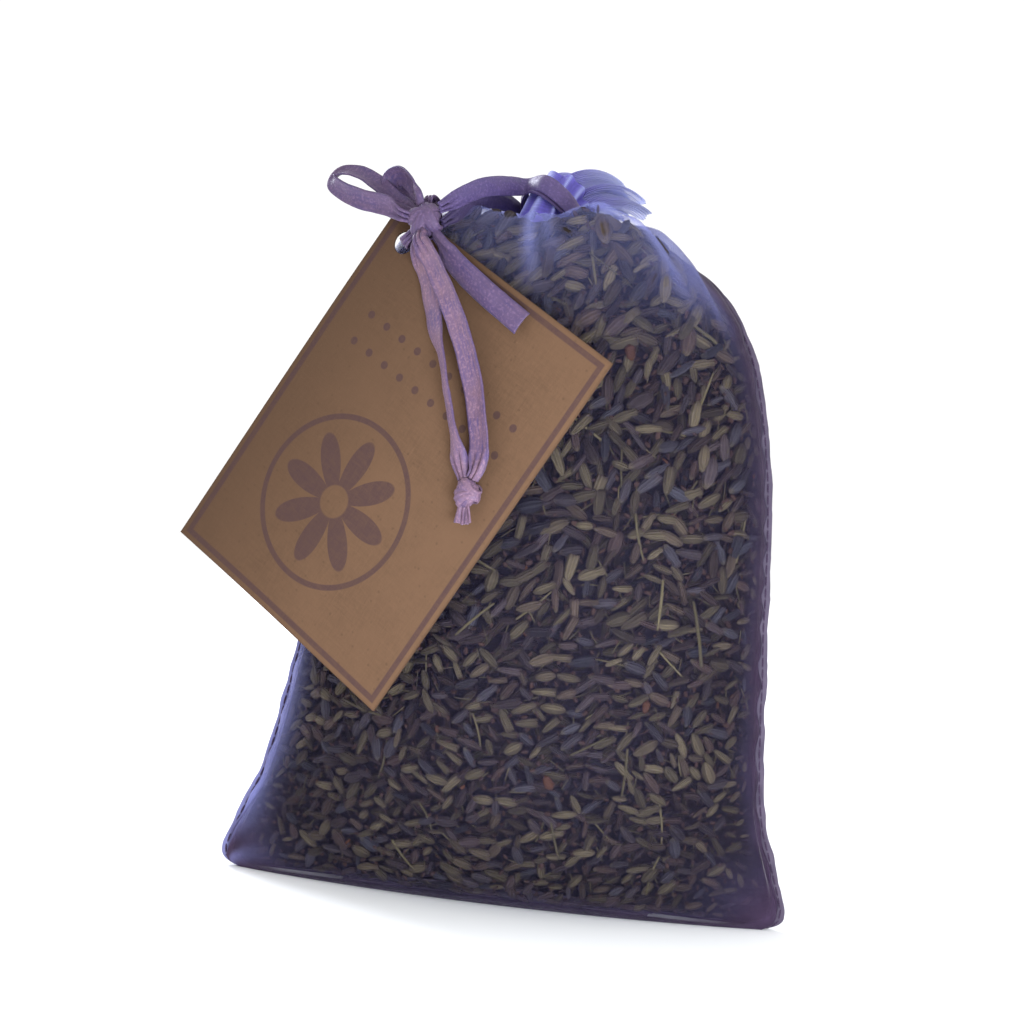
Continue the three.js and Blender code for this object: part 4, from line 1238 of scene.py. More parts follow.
class SACHET_OT_stage(bpy.types.Operator):
    """Set up the camera, the pale floor and the soft light"""
    bl_idname = "sachet.stage"
    bl_label = "Stage"

    # In metres, and the sensor's width in millimetres
    FLOOR_REACH = 3
    NEAREST_SEEN = 0.01
    SENSOR_WIDTH = 36
    LIT_POINT = (0, 0, 0.06)

    # Each light's name, place and size in metres, the setting for its power, and its colour
    LIGHTS = (
        ("key", (0.06, -0.145, 0.045), 0.06, "key_power", (0.85, 0.92, 1.0)),
        ("back", (-0.36, 0.30, 0.30), 0.25, "back_power", (0.86, 0.90, 1.0)),
    )

    def execute(self, context):
        stage = context.scene.sachet_stage
        context.scene.view_settings.view_transform = 'Standard'
        self.place_camera(context, stage)
        self.lay_floor()
        world = bpy.data.worlds.new("white surroundings")
        world.use_nodes = True
        sky = world.node_tree.nodes["Background"]
        sky.inputs["Color"].default_value = (1, 1, 1, 1)
        sky.inputs["Strength"].default_value = stage.sky
        context.scene.world = world
        for name, place, size, power, colour in self.LIGHTS:
            self.place_light(name, place, size, getattr(stage, power), colour)
        return {'FINISHED'}

    def place_camera(self, context, stage):
        """The camera, turned about its target and rolled about its line of sight."""
        azimuth, elevation, roll = stage.azimuth, stage.elevation, stage.roll
        level = math.cos(elevation)
        back = Vector((math.sin(azimuth) * level, -math.cos(azimuth) * level, math.sin(elevation)))
        right = Vector((math.cos(azimuth), math.sin(azimuth), 0))
        up = back.cross(right)
        rolled_right = right * math.cos(roll) + up * math.sin(roll)
        rolled_up = up * math.cos(roll) - right * math.sin(roll)
        lens = bpy.data.cameras.new("camera")
        lens.lens = stage.focal_length
        lens.sensor_width = self.SENSOR_WIDTH
        lens.clip_start = self.NEAREST_SEEN
        camera = bpy.data.objects.new("camera", lens)
        turned = Matrix((rolled_right, rolled_up, back)).transposed().to_4x4()
        camera.matrix_world = Matrix.Translation(Vector(stage.target) + back * stage.distance) @ turned
        context.scene.collection.objects.link(camera)
        context.scene.camera = camera

    def lay_floor(self):
        """A wide pale floor."""
        reach = self.FLOOR_REACH
        corners = [(-reach, -reach, 0), (reach, -reach, 0), (reach, reach, 0), (-reach, reach, 0)]
        floor = new_piece("floor", corners, [(0, 1, 2, 3)])
        floor.data.materials.append(floor_material())

    def place_light(self, name, place, size, power, colour):
        """A round lamp that shines at the bag and isn't seen itself."""
        lamp = bpy.data.lights.new(name, 'AREA')
        lamp.shape = 'DISK'
        lamp.size = size
        lamp.energy = power
        lamp.color = colour
        light = bpy.data.objects.new(name, lamp)
        light.location = place
        light.visible_camera = False
        aim = Vector(self.LIT_POINT) - Vector(place)
        light.rotation_euler = aim.to_track_quat('-Z', 'Y').to_euler()
        bpy.context.scene.collection.objects.link(light)


class SACHET_OT_tails(bpy.types.Operator):
    """Hang the two ribbon tails that are tied together at their ends"""
    bl_idname = "sachet.tails"
    bl_label = "Knotted tails"

    # Each tail's route, how far it is cupped, and the seed of its creases
    TAILS = (
        ("knotted_tail_left", KNOTTED_TAIL_LEFT, 0.5 * MM, 1.0),
        ("knotted_tail_right", KNOTTED_TAIL_RIGHT, -0.4 * MM, 2.0),
    )

    # The knot at their ends in millimetres: its turns' size, plane, shift, width and seed
    KNOT_SHARE = 0.88
    KNOT_CORE_SHARE = 0.9
    KNOT_TURNS = (
        (1.0, ((1, 0.35, 0), (0, 0, 1)), 0.5, 3.0, 0.4),
        (0.97, ((1, -0.7, 0), (0, 0, 1)), -0.7, 2.6, 1.9),
    )

    # The ends below the knot: tilt and seed
    ENDS = ((-0.5, 4.0), (0.35, 5.0))
    END_WIDTH = 2.6 * MM
    END_CUP = 0.3 * MM

    def execute(self, context):
        ribbon = context.scene.sachet_ribbon
        satin = satin_material("mauve_satin", ribbon, 0.85, 0.0)
        for name, route, cup, seed in self.TAILS:
            parts = ribbon_parts(route, ribbon, ribbon.width, (True, True), cup, seed, count=160)
            piece = joined(name + "_ribbon", [parts])
            finish_piece(piece, "bow", "ribbon", satin, name)
            path, *_, run = walk(route, 40)
        turns = knot_parts(
            END_KNOT_AT, END_KNOT * self.KNOT_SHARE, self.KNOT_CORE_SHARE, self.KNOT_TURNS, ribbon)
        for tilt, seed in self.ENDS:
            turns.append(ribbon_parts(
                self.end_route(tilt), ribbon, self.END_WIDTH, (True, False), self.END_CUP, seed,
                count=24, columns=8))
        finish_piece(joined("tail_end_knot_turns", turns), "bow", "ribbon", satin, "tail_end_knot")
        return {'FINISHED'}

    def end_route(self, tilt):
        """A short end that hangs out of the knot, aside and out by its tilt."""
        steps = (
            (0.4 * tilt, -1.8, 0),
            (0.9 * tilt + 0.2, -3.4, 0.2 * tilt),
            (1.3 * tilt + 0.4, -4.9, 0.3 * tilt),
        )
        return [stop(END_KNOT_AT + np.array(step), (1, 0, tilt)) for step in steps]


class SACHET_OT_bow(bpy.types.Operator):
    """Tie the bow: its knot, its loops, the loop through the card and the cut tail"""
    bl_idname = "sachet.bow"
    bl_label = "Bow"

    # The knot in millimetres: its turns' size, plane, shift, width and seed
    KNOT_SHARE = 0.9
    KNOT_CORE_SHARE = 0.88
    KNOT_TURNS = (
        (1.0, ((0.25, 1, 0), (0, 0, 1)), 0.2, 3.4, 0.0),
        (0.97, ((1, 0.45, 0), (0, 0, 1)), -0.9, 3.0, 1.3),
        (0.95, ((-0.7, 1, 0.2), (0, 0.1, 1)), 1.2, 2.6, 2.6),
    )

    def execute(self, context):
        ribbon = context.scene.sachet_ribbon
        # Painted shade: a darker, cooler copy of the tails' satin
        satin = satin_material("bow_satin", ribbon, 0.68, 0.4)

        # Each one's route, width, whether a knot pinches its start and end, cup, and seed of its creases
        loops = (
            ("bow_loop", BOW_LOOP, 3.4 * MM, (True, True), 0.6 * MM, 3.0),
            ("small_loop", SMALL_LOOP, 3.6 * MM, (True, True), 0.6 * MM, 5.0),
            ("tag_loop", TAG_LOOP, 2.2 * MM, (True, True), 0.2 * MM, 6.0),
            ("cut_tail", CUT_TAIL, ribbon.width, (True, False), 0.45 * MM, 8.0),
        )
        for name, route, width, pinched, cup, seed in loops:
            piece = joined(name + "_ribbon", [ribbon_parts(route, ribbon, width, pinched, cup, seed)])
            finish_piece(piece, "bow", "ribbon", satin, name)
        turns = knot_parts(
            BOW_KNOT_AT, BOW_KNOT * self.KNOT_SHARE, self.KNOT_CORE_SHARE, self.KNOT_TURNS, ribbon)
        finish_piece(joined("bow_knot_turns", turns), "bow", "ribbon", satin, "bow_knot")
        return {'FINISHED'}


class SACHET_OT_tie(bpy.types.Operator):
    """Wrap the neck with ribbon and lead its two strands to the bow"""
    bl_idname = "sachet.tie"
    bl_label = "Neck tie"

    # The wrap in millimetres: how far its turns and the strands on it stand off the neck, each turn's
    # further distance, place along the neck, slant, width and seed, and the creases, folds and rolled edges
    WRAP_LIFT = 0.25
    STRAND_LIFT = 1.0
    WRAP_TURNS = ((0, 0.45, -0.25, 3.2, 0.0), (0.3, 0.5, -0.3, 2.4, 2.0))
    WRAP_CREASE = 0.09
    WRAP_FOLD = 0.12
    WRAP_ROLL = 0.15

    # The strands: half turns round the neck with places along it, from the bow on, then their width and cup,
    # and how many millimetres they start inside the bow's knot
    OVER_NECK = ((0.74, 0.62), (0.5, 0.5), (0.25, 0.3), (0, 0.18), (-0.2, 0.15))
    BEHIND_NECK = ((0.97, 0.5), (1.15, 0.55), (1.35, 0.6))
    STRAND_WIDTH = 3.2 * MM
    STRAND_CUP = 0.35 * MM
    STRAND_OVERLAP = 0.3

    def execute(self, context):
        ribbon = context.scene.sachet_ribbon
        # Painted shade: two darker, cooler copies of the tails' satin, the lower strand's the darkest
        satin = satin_material("shaded_satin", ribbon, 0.75, 0.75)
        dark = satin_material("dark_satin", ribbon, 0.42, 0.8)
        reach = NECK_WAIST / 2 + WRAP_CLEARANCE + self.WRAP_LIFT
        turns = [self.wrap_turn(ribbon, reach + further, *turn) for further, *turn in self.WRAP_TURNS]
        finish_piece(joined("neck_wrap_turns", turns), "bag", "ribbon", satin, "neck_wrap")

        # Each strand's turns, how far up and out it leaves the knot, how far it is bowed up, seed and finish
        for name, turns, up, out, bowed, seed, finish in (
                ("upper_strand", self.OVER_NECK, 2.3, 0.4, 1.6, 9.0, satin),
                ("lower_strand", self.BEHIND_NECK, 0.1, -0.9, 2.8, 11.0, dark)):
            route = self.strand(turns, up, out, bowed)
            parts = ribbon_parts(route, ribbon, self.STRAND_WIDTH, (True, False), self.STRAND_CUP, seed)
            finish_piece(joined(name + "_ribbon", [parts]), "bag", "ribbon", finish, name)
        return {'FINISHED'}

    def neck_at(self, share, steps=6):
        """The neck's middle, its direction and the direction over it, at a share of its length."""
        places = np.linspace(0, 1, steps + 1)
        point, along, over = (
            np.array([np.interp(share, places, column) for column in values.T])
            for values in neck_line(steps))
        return point, unit(along), unit(over)

    def wrap_turn(self, ribbon, reach, share, slant, width, seed, count=96, columns=10):
        """One turn of ribbon round the neck, a little aslant and creased."""
        grid = np.zeros((count, columns + 1, 3))
        uv = np.zeros((count, columns + 1, 2))
        for row in range(count):
            angle = 2 * math.pi * row / count
            point, along, over = self.neck_at(share + slant * math.cos(angle))
            way = FLOP_SIDE * math.cos(angle) + over * math.sin(angle)
            for column in range(columns + 1):
                across = 2 * column / columns - 1
                crease = self.WRAP_CREASE * math.sin(5 * angle + 3 * across + seed)
                crease += self.WRAP_FOLD * math.cos(2.5 * math.pi * across)
                lifted = reach + crease - self.WRAP_ROLL * across ** 2
                grid[row, column] = (point + way * lifted + along * (across * width / 2)) * MM
                uv[row, column] = (across * width / 2 * MM, angle * reach * MM)
        return shell_parts(grid, uv, ribbon.thickness, endless=True)

    def strand(self, turns, up, out, bowed):
        """A route from the bow's knot to the neck and on round it."""
        reach = NECK_WAIST / 2 + WRAP_CLEARANCE + self.STRAND_LIFT
        round_neck = []
        for turn, share in turns:
            point, _, over = self.neck_at(share)
            way = FLOP_SIDE * math.cos(turn * math.pi) + over * math.sin(turn * math.pi)
            round_neck.append((point + reach * way) * MM)
        start, width = stop(
            BOW_KNOT_AT + np.array((BOW_KNOT[0] - self.STRAND_OVERLAP, up, out)), (0, 0.9, 0.3))
        middle = (start + round_neck[0]) / 2 + UP * bowed * MM
        neck_way = self.neck_at(turns[-1][1])[1]
        return [(start, width), (middle, UP), *((place, neck_way) for place in round_neck)]


class SACHET_OT_cloth(bpy.types.Operator):
    """Sew the two panels of the bag and gather its neck and frill"""
    bl_idname = "sachet.cloth"
    bl_label = "Organza"

    # Flat sizes of one panel and one layer of the frill, in metres
    PANEL_FLAT = (0.100, 0.122)
    FRILL_FLAT = (0.100, 0.022)

    # Folds of the front's and the back's shoulder: angle at the rim and below, lowest height, strength
    FRONT_FOLDS = (
        (1.52, 1.57, 97, 0.85), (1.62, 1.70, 100, 0.5), (2.30, 2.52, 97, 0.8),
        (2.62, 2.80, 92, 0.45), (0.95, 0.80, 98, 0.5), (2.02, 2.08, 103, 0.35))
    BACK_FOLDS = (
        (1.40, 1.30, 95, 0.7), (1.75, 1.86, 93, 0.6), (2.40, 2.55, 98, 0.6),
        (0.8, 0.62, 97, 0.6), (1.1, 0.98, 102, 0.4))

    # Relief of the panels in millimetres; widths of folds are angles
    PLEAT_CREST = 0.6
    PLEAT_DEPTH = 0.9
    FINE_PLEAT_DEPTH = 0.35
    FOLD_CREST = 0.75
    FOLD_TROUGH = 0.6
    FOLD_WIDTH = 0.045
    FOLD_WIDENING = 0.02
    FOLD_FADE = 10
    PUCKER_PITCH = 6.5
    PUCKER_REACH = 4.5
    CORNER_RAYS = 11
    CORNER_RAY_HEIGHT = 0.55
    CORNER_REACH = 14

    # Lumps of the buds under the cloth: closeness and height in millimetres
    LUMPS = ((0.13, 0.45), (0.35, 0.18))

    # The neck's flutes in millimetres, and its flare where it meets the rim
    FLUTES = 11
    FLUTE_DEPTH = 0.9
    FLUTE_UNEVENNESS = 0.4
    FLARE = 0.7
    FLARE_DROP = 2.4
    FLARE_SHARE = 0.2

    # The frill: pairs are millimetres at the neck and at the hem, and the overlap is an angle
    FRILL_HALF_WIDTHS = (4.4, 5.4)
    FRILL_HALF_HEIGHTS = (3.7, 3.2)
    FRILL_FOLD_DEPTHS = (1.0, 1.9)
    CRINKLE_DEPTHS = (0.4, 0.3)
    CRINKLES = 55
    FRILL_OVERLAP = 0.6
    FRILL_GAP = 0.1
    FRILL_DRIFT = 1.2

    def execute(self, context):
        cloth = context.scene.sachet_cloth
        # Painted light: the pale colour is brightened most in the frill and then the neck, for light that
        # comes through them
        sheer = organza_material("sheer_organza", cloth, cloth.colour, cloth.cover, 1.0, 1.2)
        airy = organza_material("frill_organza", cloth, cloth.deep, 0.3, 1.0, 1.8)
        bunched = organza_material("bunched_organza", cloth, cloth.deep, 0.6, 1.0, 1.4)
        for name, side, folds in (("front_panel", -1, self.FRONT_FOLDS), ("back_panel", 1, self.BACK_FOLDS)):
            panel = self.panel(name + "_cloth", side, folds, cloth)
            finish_piece(panel, "bag", "organza", sheer, name)
        neck = self.neck(cloth)
        finish_piece(neck, "bag", "frill", bunched, "gathered_neck")
        for name, layer in (("front_frill", 1), ("back_frill", -1)):
            frill = self.frill(name + "_cloth", layer, cloth)
            finish_piece(frill, "bag", "frill", airy, name)
        return {'FINISHED'}

    def gathers(self, angles, height, side, folds):
        """How far pleats and folds move a panel outwards, and how much of its cloth they lay together."""
        gather = gathered(height)
        swing = 0.35 * np.sin(3 * angles + side) + 0.2 * np.sin(7 * angles)
        pleat = (0.5 - 0.5 * np.cos(2 * PLEATS * angles + swing)) ** 1.3
        fine = 0.5 - 0.5 * np.cos(4 * PLEATS * angles + 3 * swing)
        moved = gather * (self.PLEAT_CREST - self.PLEAT_DEPTH * pleat)
        moved = moved - self.FINE_PLEAT_DEPTH * gather ** 2 * fine
        layered = 0.024 * gather ** 2 * (0.5 + 0.5 * pleat) + 0.6 * gather ** 60
        width = self.FOLD_WIDTH + self.FOLD_WIDENING * (1 - gather)
        for top, low, bottom, strength in folds:
            reach = smoothstep(height, bottom, bottom + self.FOLD_FADE) * strength
            line = lerp(low, top, np.clip((height - bottom) / (RIM_HEIGHT - bottom), 0, 1))
            crest = np.exp(-((angles - line) / width) ** 2)
            trough = np.exp(-((angles - line - 2.2 * width) / (1.2 * width)) ** 2)
            moved = moved + reach * (self.FOLD_CREST * crest - self.FOLD_TROUGH * trough)
            layered = layered + 0.3 * reach * crest
        return moved, layered

    def lumps(self, points):
        """How far the buds under the cloth move it outwards."""
        return np.array([
            [sum(wobble(*point, scale) * height for scale, height in self.LUMPS) for point in row]
            for row in points
        ])

    def panel(self, name, side, folds, cloth, rows=130, columns=150):
        """One panel: half of the base, then the wall up to the rim, with puckers, creases and gathers."""
        shares = np.linspace(0, 1, rows)[:, None]
        angles = np.linspace(0, np.pi, columns + 1)[None, :]
        points = bag_surface(shares, angles, side)
        outward = bag_outward(*np.broadcast_arrays(shares, angles), side)
        outline = smooth_curve(BAG_OUTLINE, shares[:, 0])
        half_width, height = outline[:, :1], outline[:, 2:]
        gather = gathered(height)
        moved, layered = self.gathers(angles, height, side, folds)

        # Distances from the sewn edge, round the bag and as seen from the front, and from the bottom corner
        edge = np.minimum(angles, np.pi - angles)
        inwards = edge * half_width
        from_edge = half_width * (1 - np.cos(edge))
        from_corner = np.hypot(from_edge, height)

        # Puckers beside the seams, rays out of the bottom corners, and the lumps of the buds
        waves = 2 * np.pi * height / self.PUCKER_PITCH + 1.7 * np.sin(height / 9) + 2 * (angles > 1.5)
        pucker = cloth.pucker / MM * np.sin(waves)
        moved = moved + pucker * np.exp(-inwards / self.PUCKER_REACH) * (1 - gather)
        ray = np.sin(np.arctan2(height, inwards + 1) * self.CORNER_RAYS)
        ray_height = self.CORNER_RAY_HEIGHT * np.exp(-from_corner / self.CORNER_REACH)
        moved = moved + ray_height * ray * smoothstep(from_corner, 1, 8)
        moved = moved + self.lumps(points) * smoothstep(inwards, 0, 9) * smoothstep(height, 0, 6)

        # Where the cloth hides more: doubled edges and foot, the shoulder's ends, and a painted glow of
        # light in the left edge
        doubled = 0.9 * np.exp(-from_edge / 0.75) + 0.8 * np.exp(-(from_corner / 7) ** 2)
        doubled = doubled + 1.4 * np.exp(-height / 0.8)
        shoulder = np.exp(-(edge / 0.5) ** 2) * smoothstep(height, 96, 104)
        glow = np.exp(-(from_edge / 4.5) ** 2) * (angles < 1.3)
        glow = glow * smoothstep(height, 3, 14) * smoothstep(height, 85, 60)
        layered = layered + doubled + 0.85 * shoulder + 0.1 * glow

        # Where it is paler: the gathers, partly from bunched cloth and partly painted sheen and light;
        # painted glints on the left corner's creases; and that painted glow
        glint = 0.2 * np.maximum(ray, 0) ** 3 * np.exp(-(from_corner / 9) ** 2) * (angles < 1)
        pale = (0.12 + 0.75 * gather ** 1.5) * np.clip(1 - doubled, 0, 1) ** 4 * (1 - 0.75 * shoulder)
        pale = np.clip(pale + glint + 0.45 * glow, 0, 1)

        points = points + outward * moved[..., None]
        nearest = SEWN_OFFSET * (1 - gather) - 3 * gather
        tuck = EDGE_TUCK * np.exp(-inwards / EDGE_TUCK_WIDTH) * (1 - gather)
        points[..., 1] = side * (np.maximum(side * points[..., 1], nearest) - tuck)
        points[..., 2] = np.maximum(points[..., 2], cloth.thickness / MM)
        base = points[:1].copy()
        base[..., 1] = np.clip(base[..., 1], -SLOT_HALF, SLOT_HALF)
        grid = np.concatenate([base, points]) * MM
        across = running_length(grid[rows // 3])
        run = running_length(grid[:, columns // 2])
        uv = np.stack(np.broadcast_arrays(across[None, :], run[:, None]), axis=-1)
        layers = np.clip(np.concatenate([layered[:1], layered]), 0, 1)
        pales = np.concatenate([pale[:1], pale])
        if side > 0:
            grid, uv, layers, pales = (values[:, ::-1] for values in (grid, uv, layers, pales))
        return shell(name, grid, uv, cloth.thickness, {"gather": layers, "pale": pales})

    def neck(self, cloth, steps=28, points_round=280):
        """The neck: both panels bunched into sharp flutes, flared to meet the rim and the frill."""
        middles, along, over = neck_line(steps)
        grid = np.zeros((steps + 1, points_round + 1, 3))
        uv = np.zeros((steps + 1, points_round + 1, 2))
        layers, pales = np.zeros((2, steps + 1, points_round + 1))
        angles = np.linspace(0, 2 * np.pi, points_round + 1)
        swing = 0.5 * np.sin(2 * angles) + 0.3 * np.sin(5 * angles + 1)
        for step in range(steps + 1):
            share = step / steps
            size = lerp(NECK_DIAMETER, NECK_WAIST, math.sqrt(math.sin(math.pi * share))) / 2
            turn = self.FLUTES * angles + 2 * swing + 0.8 * math.sin(3 * share)
            flute = (0.5 - 0.5 * np.cos(turn)) ** 0.9
            depth = self.FLUTE_DEPTH + self.FLUTE_UNEVENNESS * np.sin(3 * angles + 2 * share)
            flare = max(1 - share / self.FLARE_SHARE, 0)
            radius = size - depth * flute + self.FLARE * flare
            middle = middles[step] - along[step] * self.FLARE_DROP * flare
            sideways = FLOP_SIDE * (radius * np.cos(angles))[:, None]
            upwards = over[step] * (radius * np.sin(angles))[:, None]
            grid[step] = middle + sideways + upwards
            uv[step, :, 0] = angles / (2 * np.pi) * 2 * self.PANEL_FLAT[0]
            uv[step, :, 1] = share * NECK_LENGTH * MM
            layers[step] = 0.45 + 0.5 * flute
            # Painted highlights on the flutes' ridges
            pales[step] = 0.1 + 0.75 * (1 - flute) ** 6
        grid[:, -1] = grid[:, 0]
        values = {"gather": layers, "pale": pales}
        return shell("gathered_neck_cloth", grid * MM, uv, cloth.thickness, values)

    def frill(self, name, layer, cloth, rows=36, columns=520):
        """One layer of the frill: half a funnel that opens from the neck in wide folds and fine crinkles."""
        neck_points, neck_along, _ = neck_line(6)
        start = neck_points[-1] + neck_along[-1] * self.FRILL_GAP
        points, along, over = tipped_line(start, FRILL_LENGTH, NECK_END_TILT, FRILL_END_TILT, rows)
        grid = np.zeros((rows + 1, columns + 1, 3))
        uv = np.zeros((rows + 1, columns + 1, 2))
        layers, pales = np.zeros((2, rows + 1, columns + 1))
        turn = np.linspace(-self.FRILL_OVERLAP, np.pi + self.FRILL_OVERLAP, columns + 1)
        fold_turn = cloth.frill_folds * 2 * turn + 1.1 * np.sin(3 * turn + 1) + layer
        crinkle = np.sin(self.CRINKLES * 2 * turn + 4 * np.sin(5 * turn + layer))
        crinkle = crinkle * (0.75 + 0.25 * np.sin(13 * turn))
        uneven = 1 + 0.3 * np.sin(4.4 * turn + 2 + layer)
        for row in range(rows + 1):
            share = row / rows
            spread = math.sin(math.pi * share / 2)
            folded = np.sin(fold_turn + 0.8 * share * np.sin(2 * turn + 1))
            fold = lerp(*self.FRILL_FOLD_DEPTHS, spread) * uneven * folded
            fold = fold + lerp(*self.CRINKLE_DEPTHS, spread) * crinkle
            sideways = (lerp(*self.FRILL_HALF_WIDTHS, spread) + fold) * np.cos(turn)
            sideways = sideways + self.FRILL_DRIFT * share ** 1.5
            lift = layer * (lerp(*self.FRILL_HALF_HEIGHTS, spread) + 0.75 * fold) * np.sin(turn)
            hem = (0.07 * np.sin(9 * turn + layer) + 0.05 * np.sin(23 * turn)) * share ** 2
            middle = points[row] + along[row] * (hem * FRILL_LENGTH)[:, None]
            grid[row] = middle + FLOP_SIDE * sideways[:, None] + over[row] * lift[:, None]
            layers[row] = 0.22 + 0.5 * (1 - share) + 0.2 * (share > 0.94)
            # Painted light: paler towards the hem, where light comes through, and paler or darker across the
            # folds
            pales[row] = 0.3 + 0.62 * share - 0.2 * folded * (1 - share)
            uv[row, :, 0] = (turn - turn[0]) / (turn[-1] - turn[0]) * self.FRILL_FLAT[0]
            uv[row, :, 1] = share * FRILL_LENGTH * MM
        values = {"gather": np.clip(layers, 0, 1), "pale": np.clip(pales, 0, 1)}
        return shell(name, grid * MM, uv, cloth.thickness, values)


class SACHET_OT_seams(bpy.types.Operator):
    """Sew the side and bottom seams with their stitches"""
    bl_idname = "sachet.seams"
    bl_label = "Seams"

    # Doubled cloth's colour, and how pale it is on the left and the right: painted light, lighter on the
    # left
    COLOUR = (0.084, 0.062, 0.084)
    PAINTED_LIGHT_LEFT = 0.4
    PAINTED_LIGHT_RIGHT = 0.04

    # In millimetres: the side seams' ripples, uneven edge, stitches off their middle and lowest height, then
    # the bottom seam's and its stitches' height; and the share of the wall that the side seams follow
    RIPPLE = 0.45
    UNEVENNESS = 0.4
    STITCH_LIFT = 0.22
    LOWEST = 0.3
    BOTTOM_HEIGHT = 0.2
    BOTTOM_STITCH_HEIGHT = 0.42
    TOP_SHARE = 0.97

    STITCH_RINGS = ((-0.44, 0), (-0.36, 0.06), (0, 0.085), (0.36, 0.06), (0.44, 0))

    def execute(self, context):
        cloth = context.scene.sachet_cloth
        doubled = organza_material("seam_organza", cloth, self.COLOUR, 0.9, 1.5)
        thread = thread_material(cloth)
        lines = []
        for name, hand in (("left_side_seam", -1), ("right_side_seam", 1)):
            strip, line = self.side_strip(name + "_cloth", hand)
            finish_piece(strip, "bag", "seam", doubled, name)
            lines.extend(line)
        strip, line = self.bottom_strip()
        finish_piece(strip, "bag", "seam", doubled, "bottom_seam")
        lines.extend(line)
        stitches = self.stitches(lines, cloth, thread)
        finish_piece(stitches, "bag", "seam", thread)
        return {'FINISHED'}

    def side_strip(self, name, hand, rows=150, columns=8):
        """A doubled edge outside the panels, and the lines of stitches on its two faces."""
        edge_angle = 0 if hand < 0 else np.pi
        shares = np.linspace(0, self.TOP_SHARE, rows)
        tips = bag_surface(shares, np.full(rows, edge_angle), -1)
        tips[:, 1] += SEWN_OFFSET
        height = tips[:, 2]
        along = unit(np.gradient(tips, axis=0) * np.array((1, 0, 1)))
        out = np.stack([along[:, 2], np.zeros(rows), -along[:, 0]], axis=-1)
        out[out[:, 0] * hand < 0] *= -1
        out[out[:, 2] < 0] = (hand, 0, 0)
        width = SEAM_WIDTH * (1 - SEAM_TAPER * smoothstep(height, SHOULDER_HEIGHT, RIM_HEIGHT))
        uneven = self.UNEVENNESS * np.array([wobble(hand * 9, 0, level, 0.21) for level in height])
        ripple = self.RIPPLE * np.sin(height * 1.05 + 1.5 * np.sin(height / 7))
        reach = np.linspace(-1, 1, columns + 1)
        grid = np.zeros((rows, columns + 1, 3))
        for column, share in enumerate(reach):
            loose = max(share, 0)
            grid[:, column] = tips + out * (SEAM_GAP + width * share + loose * uneven)[:, None]
            grid[:, column, 1] += loose * ripple
        grid[..., 2] = np.maximum(grid[..., 2], self.LOWEST)
        run = running_length(tips)
        uv = np.stack(np.broadcast_arrays(reach[None, :] * SEAM_WIDTH * MM, run[:, None] * MM), axis=-1)
        layers = np.broadcast_to(0.35 + 0.4 * (reach > 0.8)[None, :], grid.shape[:2])
        # Painted light: the left strip paler than the right
        pales = np.full(grid.shape[:2], self.PAINTED_LIGHT_LEFT if hand < 0 else self.PAINTED_LIGHT_RIGHT)
        strip = shell(name, grid * MM, uv, SEAM_CLOTH * MM, {"gather": layers, "pale": pales})
        middle = grid[3:-2, columns // 2 + 1]
        lift = np.array((0, self.STITCH_LIFT, 0))
        return strip, [(middle - lift) * MM, (middle + lift) * MM]

    def bottom_strip(self, rows=60, columns=4):
        """The bottom edge, sewn flat in the slot between the panels, and its line of stitches."""
        low, high = (np.array(corner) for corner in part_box("bottom_seam"))
        xs = np.linspace(low[0], high[0], rows)
        ys = np.linspace(low[1], high[1], columns + 1)
        grid = np.zeros((rows, columns + 1, 3))
        grid[..., 0] = xs[:, None]
        grid[..., 1] = ys[None, :]
        grid[..., 2] = self.BOTTOM_HEIGHT * MM
        uv = np.stack(np.broadcast_arrays(ys[None, :], xs[:, None]), axis=-1)
        layers = np.full((rows, columns + 1), 0.6)
        strip = shell("bottom_seam_cloth", grid, uv, SEAM_CLOTH * MM, {"gather": layers})
        line = np.stack([xs, np.zeros(rows), np.full(rows, self.BOTTOM_STITCH_HEIGHT * MM)], axis=-1)
        return strip, [line]

    def stitches(self, lines, cloth, thread):
        """Every stitch of the seams, laid end to end along the seam lines."""
        vertices, edges = [], []
        for line in lines:
            edges.extend((len(vertices) + i, len(vertices) + i + 1) for i in range(len(line) - 1))
            vertices.extend(tuple(point) for point in line)
        guide = bpy.data.meshes.new("seam_stitches")
        guide.from_pydata(vertices, edges, [])
        piece = bpy.data.objects.new("seam_stitches", guide)
        bpy.context.scene.collection.objects.link(piece)
        stitch = spindle("stitch", self.STITCH_RINGS, 6)
        shapes = shape_collection("stitch_shape", [stitch])
        grow(piece, stitch_tree(), {"Stitch": stitch, "Length": cloth.stitch_length, "Finish": thread})
        discard(shapes)
        return piece


